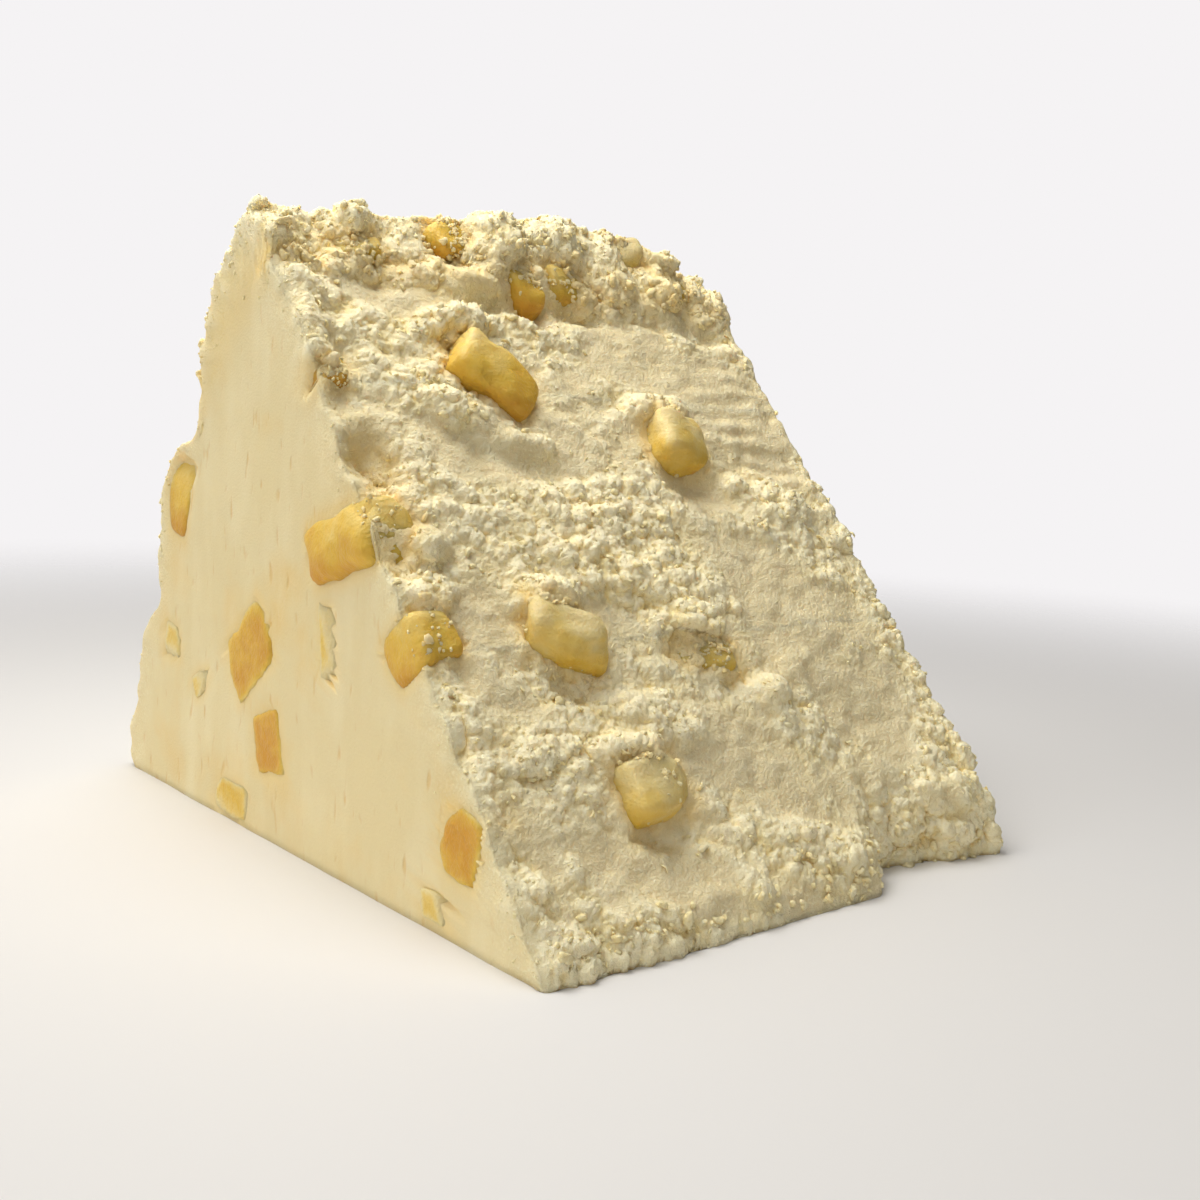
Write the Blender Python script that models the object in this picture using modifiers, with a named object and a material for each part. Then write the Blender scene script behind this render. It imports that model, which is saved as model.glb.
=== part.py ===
"""A wedge of crumbly white cheese with candied ginger, lying on one of its two cut faces.

Metres, +Z up. The origin is the middle of the face that the wedge rests on. X runs along the thin
edge, which is the thickness of the wheel, and the thin edge is at the front, towards -Y.
Values below are in millimetres and degrees, and MM turns them into metres.
"""

import math
import random
from dataclasses import dataclass

import bmesh
import bpy
import numpy as np
from mathutils import Matrix, Vector

MM = 0.001

# The wedge
WHEEL_RADIUS = 85.0
WEDGE_ANGLE = math.radians(50.0)
WHEEL_THICKNESS = 66.0
RIM_BULGE = 3.5
RIM_STEPS = 12

# The ridge crumbles upwards in the middle and is worn off at its right end
RIDGE_LIFT = 4.2
RIDGE_LIFT_AT = 40.0
RIDGE_LIFT_HALF = 24.0
RIDGE_WEAR = 1.6
RIDGE_WEAR_HALF = 12.0
RIDGE_BAND = 7.0

# The corner broken off the thin edge: a plan outline, mm from the left face and from the thin edge
BROKEN_PLAN = (
    (42.8, -4.0), (43.8, 2.2), (45.0, 5.8), (50.0, 6.4),
    (55.5, 5.0), (61.0, 3.2), (70.0, 2.4), (70.0, -4.0),
)
BROKEN_HEIGHT = 24.0
BROKEN_FROM = 40.0
BROKEN_REACH = 12.0
BROKEN_BEHIND = 1.5

# Pairs of clod width and how deep the clods are, for each kind of crumbled surface
SLOPE_CLODS = ((5.2, 0.80), (2.8, 0.45))
SHOULDER_CLODS = ((6.5, 1.50), (3.4, 0.90))
RIM_CLODS = ((7.5, 1.10), (3.6, 0.55))
EDGE_CLODS = ((4.0, 0.90),)
BROKEN_CLODS = ((4.6, 2.20), (2.4, 0.90))
SIDE_WAVES = ((14.0, 0.22),)

# A clod's middle lies between these shares of its lattice cell, and it ends at this squared distance
CLOD_MIDDLE = (0.15, 0.85)
CLOD_END = 0.75

# Where a kind of surface starts, and over what distance it fades
SHOULDER_FROM = 75.0
SHOULDER_BAND = 4.0
EDGE_BAND = 3.0
BASE_BAND = 3.0
SIDE_BAND = 1.0

# Mesh sizes
VOXEL = 1.15
KEPT_SHARE = 0.125
BASE_SNAP = 0.75
WELD = 0.01
ON_PLANE = 0.000001

# Candied ginger
GINGER_GAP = 0.35
POCKET_REACH = 6.0
FLUSH_PROUD = 0.12
FLUSH_SUNK = 0.3
DICE_BEVEL = 0.09
DICE_CUTS = 6
DICE_CUT_AT = (0.68, 0.86)
DICE_TILT = 12.0
SAME_POINT = 0.02
SEED = 24


@dataclass(frozen=True)
class Form:
    """A rounded bump (height above 0) or hollow on a face, inside an ellipse."""

    u: float
    v: float
    half_u: float
    half_v: float
    height: float
    turn: float = 0.0


# Bumps and hollows of the sloping cut face: mm from the left face, mm up the slope from the thin edge
SLOPE_FORMS = (
    Form(17.5, 58.0, 13.0, 3.6, 1.2, -24.0),
    Form(22.0, 52.6, 12.0, 3.4, -0.9, -22.0),
    Form(21.5, 65.5, 10.0, 7.5, -1.0),
    Form(29.0, 37.8, 16.0, 4.4, 0.7, -26.0),
    Form(46.5, 49.8, 9.0, 3.6, -1.0, -14.0),
    Form(58.0, 47.0, 11.0, 3.4, 0.8, -8.0),
    Form(60.0, 54.0, 10.0, 3.2, -0.6),
    Form(14.5, 26.8, 9.0, 3.4, -1.2, -20.0),
    Form(24.0, 21.6, 13.0, 4.0, 0.7, -22.0),
    Form(18.5, 10.4, 8.0, 3.0, -1.0, -12.0),
    Form(40.2, 23.1, 3.4, 2.8, 1.6),
    Form(45.5, 26.0, 4.6, 3.0, 0.8),
    Form(55.0, 30.0, 12.0, 4.0, 0.5, -20.0),
    Form(52.0, 18.0, 12.0, 6.0, -0.5),
    Form(38.0, 6.0, 9.0, 3.6, 1.1, -30.0),
    Form(20.0, 3.0, 24.0, 4.2, 0.8),
    Form(58.5, 8.5, 8.0, 3.8, 1.3, 8.0),
    Form(38.0, 75.6, 21.0, 2.8, -1.5),
    Form(28.4, 81.9, 5.2, 4.4, 2.4),
    Form(24.7, 78.0, 4.4, 3.4, 1.9),
    Form(54.5, 79.6, 6.0, 4.0, 2.2),
    Form(47.0, 81.0, 4.6, 3.6, 1.6),
    Form(61.0, 74.5, 6.0, 3.0, -1.4),
    Form(1.2, 66.5, 2.8, 8.5, 1.8),
    Form(2.0, 74.0, 3.2, 3.6, 1.5),
    Form(0.8, 80.0, 3.6, 3.4, 1.5),
    Form(3.4, 52.4, 3.8, 5.8, -3.4),
    Form(5.0, 42.6, 3.4, 3.0, 1.7),
    Form(3.5, 37.0, 3.0, 2.4, 1.2),
)

# Bumps and hollows of the rim: mm from the left face, mm up from the base
RIM_FORMS = (
    Form(0.0, 56.0, 12.0, 9.0, 1.4),
    Form(0.0, 43.5, 9.0, 5.0, -2.6),
    Form(2.0, 34.0, 9.0, 8.0, 2.4),
    Form(0.0, 23.0, 8.0, 5.0, -2.0),
    Form(2.0, 14.0, 10.0, 6.0, 1.2),
    Form(22.0, 48.0, 12.0, 8.0, -1.6, 20.0),
    Form(36.0, 30.0, 14.0, 9.0, 1.6, -15.0),
    Form(50.0, 52.0, 10.0, 7.0, 1.3),
    Form(56.0, 16.0, 12.0, 7.0, -1.5, 10.0),
    Form(26.0, 10.0, 11.0, 6.0, 1.2),
)


@dataclass(frozen=True)
class Dice:
    """One piece of candied ginger.

    u and v place it on its face; size is its extent along u, v and into the cheese; proud is how
    far it stands out; a flush piece is cut off level with the faces that flush names.
    """

    name: str
    face: str
    u: float
    v: float
    size: tuple
    proud: float = 0.0
    turn: float = 0.0
    flush: tuple = ()


# Pieces that show on the sloping face and the ridge: mm from the left face, mm up the slope
SLOPE_DICE = (
    Dice("ginger_slope_dark", "slope", 22.0, 64.6, (10.6, 7.2, 8.0), 2.4, -38.0),
    Dice("ginger_slope_yellow", "slope", 44.6, 56.2, (8.8, 7.6, 7.5), 3.0, -12.0),
    Dice("ginger_slope_middle", "slope", 16.6, 32.0, (8.8, 6.6, 7.5), 3.0, -16.0),
    Dice("ginger_slope_frosted", "slope", 19.2, 15.2, (8.6, 6.2, 6.5), 2.5, 6.0),
    Dice("ginger_slope_sunk", "slope", 33.8, 28.8, (9.4, 4.6, 5.0), 0.9, -14.0),
    Dice("ginger_edge_block", "left", 33.6, 32.4, (12.4, 7.4, 6.6), 1.3, 20.0),
    Dice("ginger_edge_glassy", "slope", 2.2, 33.0, (6.4, 5.6, 6.5), 1.0, 10.0, ("left",)),
    Dice("ginger_edge_small", "slope", 2.4, 63.3, (3.8, 4.4, 4.5), 0.9, 0.0),
    Dice("ginger_shoulder_left", "slope", 11.6, 81.0, (6.0, 4.6, 5.5), 1.6, 8.0),
    Dice("ginger_shoulder_centre", "slope", 23.6, 84.0, (4.8, 4.6, 5.0), 2.0, 20.0),
    Dice("ginger_shoulder_orange", "slope", 32.2, 78.8, (4.4, 7.0, 5.5), 1.9, 10.0),
    Dice("ginger_shoulder_broad", "slope", 39.6, 79.6, (7.0, 5.0, 5.5), 1.9, 0.0),
    Dice("ginger_shoulder_right", "slope", 57.4, 81.6, (6.6, 4.4, 5.5), 1.8, 0.0),
    Dice("ginger_ridge_bright", "slope", 50.6, 86.0, (6.8, 5.2, 6.0), 2.6, 0.0),
)

# Pieces that show on the smooth left face: mm back from the thin edge, mm up from the base
LEFT_DICE = (
    Dice("ginger_left_torn", "left", 52.6, 19.4, (10.6, 7.4, 6.0), 0.0, 38.0, ("left",)),
    Dice("ginger_left_amber", "left", 48.0, 10.2, (6.6, 7.0, 6.0), 0.0, 12.0, ("left",)),
    Dice("ginger_left_sliver", "left", 36.2, 22.4, (2.8, 7.6, 4.0), 0.0, 8.0, ("left",)),
    Dice("ginger_left_front", "left", 12.6, 8.4, (5.8, 7.0, 6.0), 0.0, -14.0, ("left",)),
    Dice("ginger_left_foot", "left", 56.0, 2.6, (7.6, 4.0, 6.0), 0.0, 0.0, ("left",)),
    Dice("ginger_left_toe", "left", 16.6, 1.9, (4.2, 2.6, 5.0), 0.0, 0.0, ("left",)),
    Dice("ginger_left_dot", "left", 64.4, 13.8, (4.0, 2.6, 3.5), 0.0, 30.0, ("left",)),
    Dice("ginger_left_rear", "left", 72.4, 17.4, (4.6, 4.2, 5.0), 0.0, 0.0, ("left",)),
    Dice("ginger_rim_edge", "rim", 2.4, 35.0, (6.6, 9.4, 6.0), 2.2, 10.0, ("left",)),
)

# How many pieces each face that turns away has, and their sizes
HIDDEN_DICE = (("right", 3, 2), ("rim", 3, 2), ("base", 2, 2))
HIDDEN_SIZE = (4.6, 8.6)
HIDDEN_MARGIN = 11.0
HIDDEN_JITTER = 5.0
RIGHT_RADII = (22.0, 74.0)
RIGHT_ANGLES = (0.08, 0.92)
RIM_HEIGHTS = (12.0, 54.0)
RIM_SHIFT = 3.0

# Paint: linear colour and roughness
CHEESE_COLOUR = (0.83, 0.72, 0.43)
CHEESE_ROUGHNESS = 0.6
GINGER_COLOUR = (0.79, 0.50, 0.11)
GINGER_ROUGHNESS = 0.3

TIP = np.array([-WHEEL_THICKNESS / 2, -WHEEL_RADIUS / 2, 0.0])
UP_SLOPE = np.array([0.0, math.cos(WEDGE_ANGLE), math.sin(WEDGE_ANGLE)])
OFF_SLOPE = np.array([0.0, -math.sin(WEDGE_ANGLE), math.cos(WEDGE_ANGLE)])


def rim_radius(angle):
    """Distance from the thin edge to the rim: a chord between the two cuts, bulged outwards."""
    half = WEDGE_ANGLE / 2
    chord = WHEEL_RADIUS * math.cos(half) / np.cos(angle - half)
    full_bulge = WHEEL_RADIUS * (1 - math.cos(half))
    return chord + (WHEEL_RADIUS - chord) * RIM_BULGE / full_bulge


# Scene and collections

def clear_scene():
    for obj in list(bpy.data.objects):
        bpy.data.objects.remove(obj, do_unlink=True)


def new_collection(name, hidden=False):
    collection = bpy.data.collections.new(name)
    collection.hide_render = hidden
    bpy.context.scene.collection.children.link(collection)
    return collection


def new_material(name, colour, roughness):
    material = bpy.data.materials.new(name)
    material.use_nodes = True
    shader = material.node_tree.nodes["Principled BSDF"]
    shader.inputs["Base Color"].default_value = (*colour, 1.0)
    shader.inputs["Roughness"].default_value = roughness
    shader.inputs["Metallic"].default_value = 0.0
    material.diffuse_color = (*colour, 1.0)
    return material


def mesh_object(name, mesh, collection, material=None):
    obj = bpy.data.objects.new(name, mesh)
    collection.objects.link(obj)
    if material:
        obj.data.materials.append(material)
    return obj


def as_cutter(obj):
    obj.hide_render = True
    obj.display_type = "WIRE"
    return obj


# The plain wedge: flat outlines, extruded

def flat_outline(name, points, height, collection):
    """A closed 2D curve, filled and extruded to both sides of its plane."""
    curve = bpy.data.curves.new(name, "CURVE")
    curve.dimensions = "2D"
    curve.fill_mode = "BOTH"
    curve.extrude = height / 2 * MM
    spline = curve.splines.new("POLY")
    spline.points.add(len(points) - 1)
    for point, (u, v) in zip(spline.points, points):
        point.co = (u * MM, v * MM, 0.0, 1.0)
    spline.use_cyclic_u = True
    obj = bpy.data.objects.new(name, curve)
    collection.objects.link(obj)
    return obj


def curve_to_mesh(curve_object, collection):
    """The curve's evaluated surface as a mesh object, with its caps welded and its place applied."""
    bpy.context.view_layer.update()
    graph = bpy.context.evaluated_depsgraph_get()
    mesh = bpy.data.meshes.new_from_object(curve_object.evaluated_get(graph))
    mesh.transform(curve_object.matrix_world)
    work = bmesh.new()
    work.from_mesh(mesh)
    bmesh.ops.remove_doubles(work, verts=work.verts, dist=WELD * MM)
    bmesh.ops.recalc_face_normals(work, faces=work.faces)
    work.to_mesh(mesh)
    work.free()
    name = curve_object.name
    bpy.data.objects.remove(curve_object, do_unlink=True)
    mesh.name = name
    return mesh_object(name, mesh, collection)


def wedge_blank(collection):
    """The wedge as the knife left it: thin edge, base, bulged rim and slope, extruded along X."""
    angles = np.linspace(0, WEDGE_ANGLE, RIM_STEPS + 1)
    radii = rim_radius(angles)
    rim = zip(radii * np.cos(angles) - WHEEL_RADIUS / 2, radii * np.sin(angles))
    outline = flat_outline("wedge", [(TIP[1], 0.0), *rim], WHEEL_THICKNESS, collection)
    # The outline's own X and Y become the wedge's Y and Z.
    outline.matrix_world = Matrix(((0, 0, 1, 0), (1, 0, 0, 0), (0, 1, 0, 0), (0, 0, 0, 1)))
    return curve_to_mesh(outline, collection)


def broken_corner(collection):
    """The piece that is missing from the right end of the thin edge."""
    plan = [(TIP[0] + across, TIP[1] + back) for across, back in BROKEN_PLAN]
    outline = flat_outline("broken_corner", plan, BROKEN_HEIGHT, collection)
    return as_cutter(curve_to_mesh(outline, collection))


# Crumbled relief

def lattice_random(cells, seed):
    """Three numbers from 0 to 1 for each whole-number lattice place, the same on every run."""
    mixed = cells @ np.array([127.1, 311.7, 74.7]) + seed * 19.19
    turns = np.stack([mixed, mixed * 1.37 + 4.1, mixed * 0.73 + 9.7], -1)
    return np.modf(np.abs(np.sin(turns) * 43758.5453))[0]


def clods(points, width, seed):
    """Rounded lumps side by side: 1 at a lump's middle, falling to about 0 between lumps."""
    scaled = points / width
    home = np.floor(scaled)
    nearest = np.full(len(points), np.inf)
    steps = (-1, 0, 1)
    for step in [np.array([i, j, k]) for i in steps for j in steps for k in steps]:
        cell = home + step
        centre = cell + CLOD_MIDDLE[0] + (CLOD_MIDDLE[1] - CLOD_MIDDLE[0]) * lattice_random(cell, seed)
        nearest = np.minimum(nearest, np.sum((scaled - centre) ** 2, axis=1))
    return 1 - np.clip(nearest / CLOD_END, 0, 1)


def clod_depth(points, layers, seed):
    """Several widths of clods on top of each other, counted from their mean level."""
    return sum(
        depth * (clods(points, width, seed + index) - 0.5)
        for index, (width, depth) in enumerate(layers)
    )


def forms_height(u, v, forms):
    """Sum of the bumps and hollows, each (1 - q squared) squared inside its ellipse."""
    total = np.zeros_like(u)
    for form in forms:
        turn = math.radians(form.turn)
        along = (u - form.u) * math.cos(turn) + (v - form.v) * math.sin(turn)
        across = (v - form.v) * math.cos(turn) - (u - form.u) * math.sin(turn)
        q_squared = (along / form.half_u) ** 2 + (across / form.half_v) ** 2
        total += form.height * (1 - np.clip(q_squared, 0, 1)) ** 2
    return total


def near(distance, band):
    """1 on a face, falling smoothly to 0 at some bands away from it."""
    return np.exp(-((distance / band) ** 2))


def crumble(points, normals):
    """Moves the plain wedge's surface points (mm) to the crumbled surface."""
    across = points[:, 0] - TIP[0]
    back = points[:, 1] - TIP[1]
    height = points[:, 2]
    up_slope = (points - TIP) @ UP_SLOPE
    over_slope = (points - TIP) @ OFF_SLOPE
    angle = np.arctan2(height, back)
    in_from_rim = rim_radius(angle) - np.hypot(back, height)
    from_side = np.minimum(across, WHEEL_THICKNESS - across)

    on_slope = near(over_slope, EDGE_BAND)
    on_rim = near(in_from_rim, EDGE_BAND)
    on_side = near(from_side, SIDE_BAND)
    off_base = np.clip(height / BASE_BAND, 0, 1)
    shoulder = np.clip((up_slope - SHOULDER_FROM) / SHOULDER_BAND, 0, 1)

    slope_rise = forms_height(across, up_slope, SLOPE_FORMS)
    slope_rise += clod_depth(points, SLOPE_CLODS, 1) * (1 - shoulder)
    slope_rise += clod_depth(points, SHOULDER_CLODS, 11) * shoulder
    rim_rise = forms_height(across, height, RIM_FORMS) + clod_depth(points, RIM_CLODS, 21)
    edge_rise = clod_depth(points, EDGE_CLODS, 31) * near(from_side, EDGE_BAND)
    broken = (over_slope < -BROKEN_BEHIND) & (up_slope < BROKEN_REACH) & (across > BROKEN_FROM)
    broken_rise = np.where(broken, clod_depth(points, BROKEN_CLODS, 41), 0.0) * (1 - on_side)
    side_wave = clod_depth(points, SIDE_WAVES, 51) * on_side

    radial = np.stack([np.zeros_like(angle), np.cos(angle), np.sin(angle)], -1)
    outward = np.sign(across - WHEEL_THICKNESS / 2)[:, None] * np.array([1.0, 0.0, 0.0])
    moved = points + OFF_SLOPE * ((slope_rise + edge_rise) * on_slope * off_base)[:, None]
    moved += radial * ((rim_rise + edge_rise) * on_rim * off_base)[:, None]
    moved += normals * (broken_rise * off_base)[:, None] + outward * side_wave[:, None]

    hump = RIDGE_LIFT * near(across - RIDGE_LIFT_AT, RIDGE_LIFT_HALF)
    hump -= RIDGE_WEAR * near(across - WHEEL_THICKNESS, RIDGE_WEAR_HALF)
    hump -= RIDGE_LIFT * near(RIDGE_LIFT_AT, RIDGE_LIFT_HALF)
    moved[:, 2] += hump * on_rim * np.clip((up_slope - WHEEL_RADIUS) / RIDGE_BAND + 1, 0, 1)

    moved[height < BASE_SNAP, 2] = 0.0
    moved[:, 2] = np.maximum(moved[:, 2], 0.0)
    return moved


def crumbled_wedge(blank, collection, material):
    """Remeshes the cut blank evenly, crumbles its surface, and thins the mesh where it is flat."""
    remesh = blank.modifiers.new("even_mesh", "REMESH")
    remesh.mode = "VOXEL"
    remesh.voxel_size = VOXEL * MM
    bpy.context.view_layer.update()
    graph = bpy.context.evaluated_depsgraph_get()
    mesh = bpy.data.meshes.new_from_object(blank.evaluated_get(graph))
    flat = np.empty(len(mesh.vertices) * 3, np.float32)
    mesh.vertices.foreach_get("co", flat)
    normals = np.empty_like(flat)
    mesh.vertex_normals.foreach_get("vector", normals)
    points = crumble(flat.reshape(-1, 3) / MM, normals.reshape(-1, 3))
    mesh.vertices.foreach_set("co", (points * MM).astype(np.float32).ravel())
    mesh.update()
    bpy.data.objects.remove(blank, do_unlink=True)
    wedge = mesh_object("wedge", mesh, collection, material)
    thin = wedge.modifiers.new("thin", "DECIMATE")
    thin.ratio = KEPT_SHARE
    thin.use_collapse_triangulate = True
    return wedge


# Candied ginger

def face_frame(face, u, v):
    """(place, up along the face, outward) of a point on a face of the wedge, in millimetres."""
    if face == "slope":
        return TIP + np.array([u, 0, 0]) + UP_SLOPE * v, UP_SLOPE, OFF_SLOPE
    if face == "left":
        return TIP + np.array([0, u, v]), np.array([0.0, 0.0, 1.0]), np.array([-1.0, 0.0, 0.0])
    if face == "right":
        place = TIP + np.array([WHEEL_THICKNESS, u, v])
        return place, np.array([0.0, 0.0, 1.0]), np.array([1.0, 0.0, 0.0])
    if face == "base":
        return TIP + np.array([u, v, 0]), np.array([0.0, 1.0, 0.0]), np.array([0.0, 0.0, -1.0])
    # On the rim, v is the height above the base.
    angle = math.asin(v / WHEEL_RADIUS)
    angle = math.asin(min(1.0, v / float(rim_radius(angle))))
    outward = np.array([0.0, math.cos(angle), math.sin(angle)])
    place = TIP + np.array([u, 0, 0]) + outward * float(rim_radius(angle))
    return place, np.array([0.0, -math.sin(angle), math.cos(angle)]), outward


def keep_below(work, place, outward):
    """Cuts everything off beyond a plane and closes the cut."""
    geometry = work.verts[:] + work.edges[:] + work.faces[:]
    cut = bmesh.ops.bisect_plane(
        work, geom=geometry, plane_co=place, plane_no=outward, clear_outer=True, dist=ON_PLANE
    )
    rims = [item for item in cut["geom_cut"] if isinstance(item, bmesh.types.BMEdge)]
    if rims:
        bmesh.ops.edgeloop_fill(work, edges=rims)
    bmesh.ops.recalc_face_normals(work, faces=work.faces)


def dice_shape(dice, draw, grow):
    """A cube with corners and edges sliced off at random; grow adds a margin all round."""
    size = Vector(dice.size) + Vector((2 * grow,) * 3)
    work = bmesh.new()
    bmesh.ops.create_cube(work, size=1.0)
    bmesh.ops.scale(work, vec=size, verts=work.verts)
    for _ in range(DICE_CUTS):
        toward = Vector([draw.gauss(0, 1) / extent for extent in size]).normalized()
        corner = sum(abs(toward[axis]) * size[axis] / 2 for axis in range(3))
        keep_below(work, toward * corner * draw.uniform(*DICE_CUT_AT), toward)
    return work


def dice_matrix(dice, draw):
    """The turn and place of a piece on its face, in millimetres."""
    place, up, outward = (Vector(row) for row in face_frame(dice.face, dice.u, dice.v))
    across = up.cross(outward)
    frame = Matrix((across, up, outward)).transposed().to_4x4()
    lean = Matrix.Rotation(math.radians(draw.uniform(-DICE_TILT, DICE_TILT)), 4, "X")
    tilt = Matrix.Rotation(math.radians(draw.uniform(-DICE_TILT, DICE_TILT)), 4, "Y")
    turn = Matrix.Rotation(math.radians(dice.turn), 4, "Z")
    centre = place + outward * (dice.proud - dice.size[2] / 2)
    if dice.flush:
        centre = place - outward * dice.size[2] * FLUSH_SUNK
    return Matrix.Translation(centre) @ frame @ turn @ lean @ tilt


def ginger_piece(dice, number, collection, material):
    """One piece of ginger: cut cube, rounded edges, level with the faces that it is flush with."""
    draw = random.Random(SEED + number)
    matrix = dice_matrix(dice, draw)
    work = dice_shape(dice, draw, 0.0)
    bevel = DICE_BEVEL * min(dice.size)
    bmesh.ops.bevel(
        work, geom=work.edges[:], offset=bevel, segments=1, affect="EDGES", clamp_overlap=True
    )
    bmesh.ops.transform(work, matrix=matrix, verts=work.verts)
    for face in dice.flush:
        place, _, outward = face_frame(face, dice.u, dice.v)
        keep_below(work, Vector(place + outward * FLUSH_PROUD), Vector(outward))
    lowest = Vector((0.0, 0.0, GINGER_GAP))
    keep_below(work, lowest, Vector((0.0, 0.0, -1.0)))
    bmesh.ops.remove_doubles(work, verts=work.verts, dist=SAME_POINT)
    bmesh.ops.scale(work, vec=Vector((MM, MM, MM)), verts=work.verts)
    mesh = bpy.data.meshes.new(dice.name)
    work.to_mesh(mesh)
    work.free()
    return mesh_object(dice.name, mesh, collection, material)


def pocket(dice, number, collection):
    """The hole that a piece sits in: the piece with a gap round it, swept out of the cheese."""
    draw = random.Random(SEED + number)
    matrix = dice_matrix(dice, draw)
    shape = dice_shape(dice, draw, GINGER_GAP)
    bmesh.ops.transform(shape, matrix=matrix, verts=shape.verts)
    inner = [vert.co.copy() for vert in shape.verts]
    shape.free()
    outward = sum((Vector(face_frame(face, dice.u, dice.v)[2]) for face in dice.flush), Vector())
    outward += Vector(face_frame(dice.face, dice.u, dice.v)[2])
    reach = outward.normalized() * POCKET_REACH
    work = bmesh.new()
    for point in inner:
        work.verts.new(point * MM)
        work.verts.new((point + reach) * MM)
    hull = bmesh.ops.convex_hull(work, input=work.verts)
    spare = [item for item in hull["geom_interior"] if isinstance(item, bmesh.types.BMVert)]
    bmesh.ops.delete(work, geom=spare, context="VERTS")
    bmesh.ops.recalc_face_normals(work, faces=work.faces)
    mesh = bpy.data.meshes.new("pocket_" + dice.name)
    work.to_mesh(mesh)
    work.free()
    return as_cutter(mesh_object(mesh.name, mesh, collection))


def hidden_dice():
    """Pieces on the faces that turn away, spread over a loose grid of rows on each face."""
    draw = random.Random(SEED)
    pieces = []
    for face, columns, rows in HIDDEN_DICE:
        for index in range(columns * rows):
            row = index // columns
            along = (index % columns + 0.5 + 0.5 * row) / (columns + 0.5)
            up = (row + 0.5) / rows
            size = tuple(draw.uniform(*HIDDEN_SIZE) for _ in range(3))
            shift = (draw.uniform(-1, 1) * HIDDEN_JITTER, draw.uniform(-1, 1) * HIDDEN_JITTER)
            if face == "right":
                # The face is a triangle under the slope, so places are spread by angle and radius.
                radius = RIGHT_RADII[0] + (RIGHT_RADII[1] - RIGHT_RADII[0]) * along
                turn = WEDGE_ANGLE * (RIGHT_ANGLES[0] + (RIGHT_ANGLES[1] - RIGHT_ANGLES[0]) * up)
                place = (radius * math.cos(turn) + shift[0] / 2, radius * math.sin(turn))
            elif face == "rim":
                height = RIM_HEIGHTS[0] + (RIM_HEIGHTS[1] - RIM_HEIGHTS[0]) * up
                place = (along * WHEEL_THICKNESS + RIM_SHIFT + shift[0], height + shift[1])
            else:
                place = (
                    along * WHEEL_THICKNESS + shift[0],
                    HIDDEN_MARGIN + up * (WHEEL_RADIUS - 2 * HIDDEN_MARGIN) + shift[1],
                )
            name = f"ginger_{face}_{index + 1}"
            pieces.append(Dice(name, face, *place, size, 0.0, draw.uniform(0, 90), (face,)))
    return pieces


def main():
    clear_scene()
    parts = new_collection("cheese_wedge")
    cutters = new_collection("cutters", hidden=True)
    pockets = new_collection("pockets", hidden=True)
    cheese = new_material("crumbly_cheese", CHEESE_COLOUR, CHEESE_ROUGHNESS)
    ginger = new_material("candied_ginger", GINGER_COLOUR, GINGER_ROUGHNESS)

    blank = wedge_blank(cutters)
    corner_cut = blank.modifiers.new("broken_corner", "BOOLEAN")
    corner_cut.operation = "DIFFERENCE"
    corner_cut.solver = "EXACT"
    corner_cut.object = broken_corner(cutters)
    wedge = crumbled_wedge(blank, parts, cheese)

    for number, dice in enumerate([*SLOPE_DICE, *LEFT_DICE, *hidden_dice()]):
        ginger_piece(dice, number, parts, ginger)
        pocket(dice, number, pockets)
    pocket_cut = wedge.modifiers.new("ginger_pockets", "BOOLEAN")
    pocket_cut.operation = "DIFFERENCE"
    pocket_cut.operand_type = "COLLECTION"
    pocket_cut.solver = "EXACT"
    pocket_cut.collection = pockets


main()
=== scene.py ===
"""The looks of a wedge of crumbly white cheese with candied ginger, lying on one cut face.

The frame is in metres, with +Z up and the origin in the middle of the face that the wedge rests on.
X runs along the thin edge, from the smooth left face to the right one, and the thin edge is at the
front, towards -Y. Sizes below are in millimetres, and MM turns them into metres.
"""

import logging
import math
from dataclasses import dataclass, field
from enum import Enum

import bpy
import numpy as np
from mathutils import Matrix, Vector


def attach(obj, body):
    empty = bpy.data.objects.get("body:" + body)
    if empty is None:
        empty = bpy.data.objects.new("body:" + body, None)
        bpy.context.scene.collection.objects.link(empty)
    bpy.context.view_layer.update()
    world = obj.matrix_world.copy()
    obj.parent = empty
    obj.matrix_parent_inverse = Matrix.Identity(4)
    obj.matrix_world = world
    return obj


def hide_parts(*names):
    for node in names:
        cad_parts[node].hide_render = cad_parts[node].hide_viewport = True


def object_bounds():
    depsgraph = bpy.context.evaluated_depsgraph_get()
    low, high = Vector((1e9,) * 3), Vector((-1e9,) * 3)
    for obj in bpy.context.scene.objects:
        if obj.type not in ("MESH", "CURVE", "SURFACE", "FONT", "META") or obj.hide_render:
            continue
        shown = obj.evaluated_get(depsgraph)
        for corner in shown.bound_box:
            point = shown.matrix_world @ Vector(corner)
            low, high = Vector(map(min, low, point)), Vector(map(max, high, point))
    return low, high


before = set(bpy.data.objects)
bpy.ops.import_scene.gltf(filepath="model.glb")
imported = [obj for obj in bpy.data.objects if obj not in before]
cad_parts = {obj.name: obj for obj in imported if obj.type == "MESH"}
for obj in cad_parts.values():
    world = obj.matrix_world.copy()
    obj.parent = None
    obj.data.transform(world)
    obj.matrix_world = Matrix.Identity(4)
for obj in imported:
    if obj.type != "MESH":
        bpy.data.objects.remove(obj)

MM = 0.001
CAD_BOX = [list(corner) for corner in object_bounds()]
BODY = "root"
SEED = 24

log = logging.getLogger("cheese_wedge")
Array = np.ndarray


class Slot(Enum):
    """The record's material slots."""

    CHEESE = "cheese"
    GINGER = "ginger"


def unit(vectors: Array) -> Array:
    """Each vector divided by its length."""
    return vectors / np.maximum(np.linalg.norm(vectors, axis=-1, keepdims=True), 1e-12)


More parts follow.
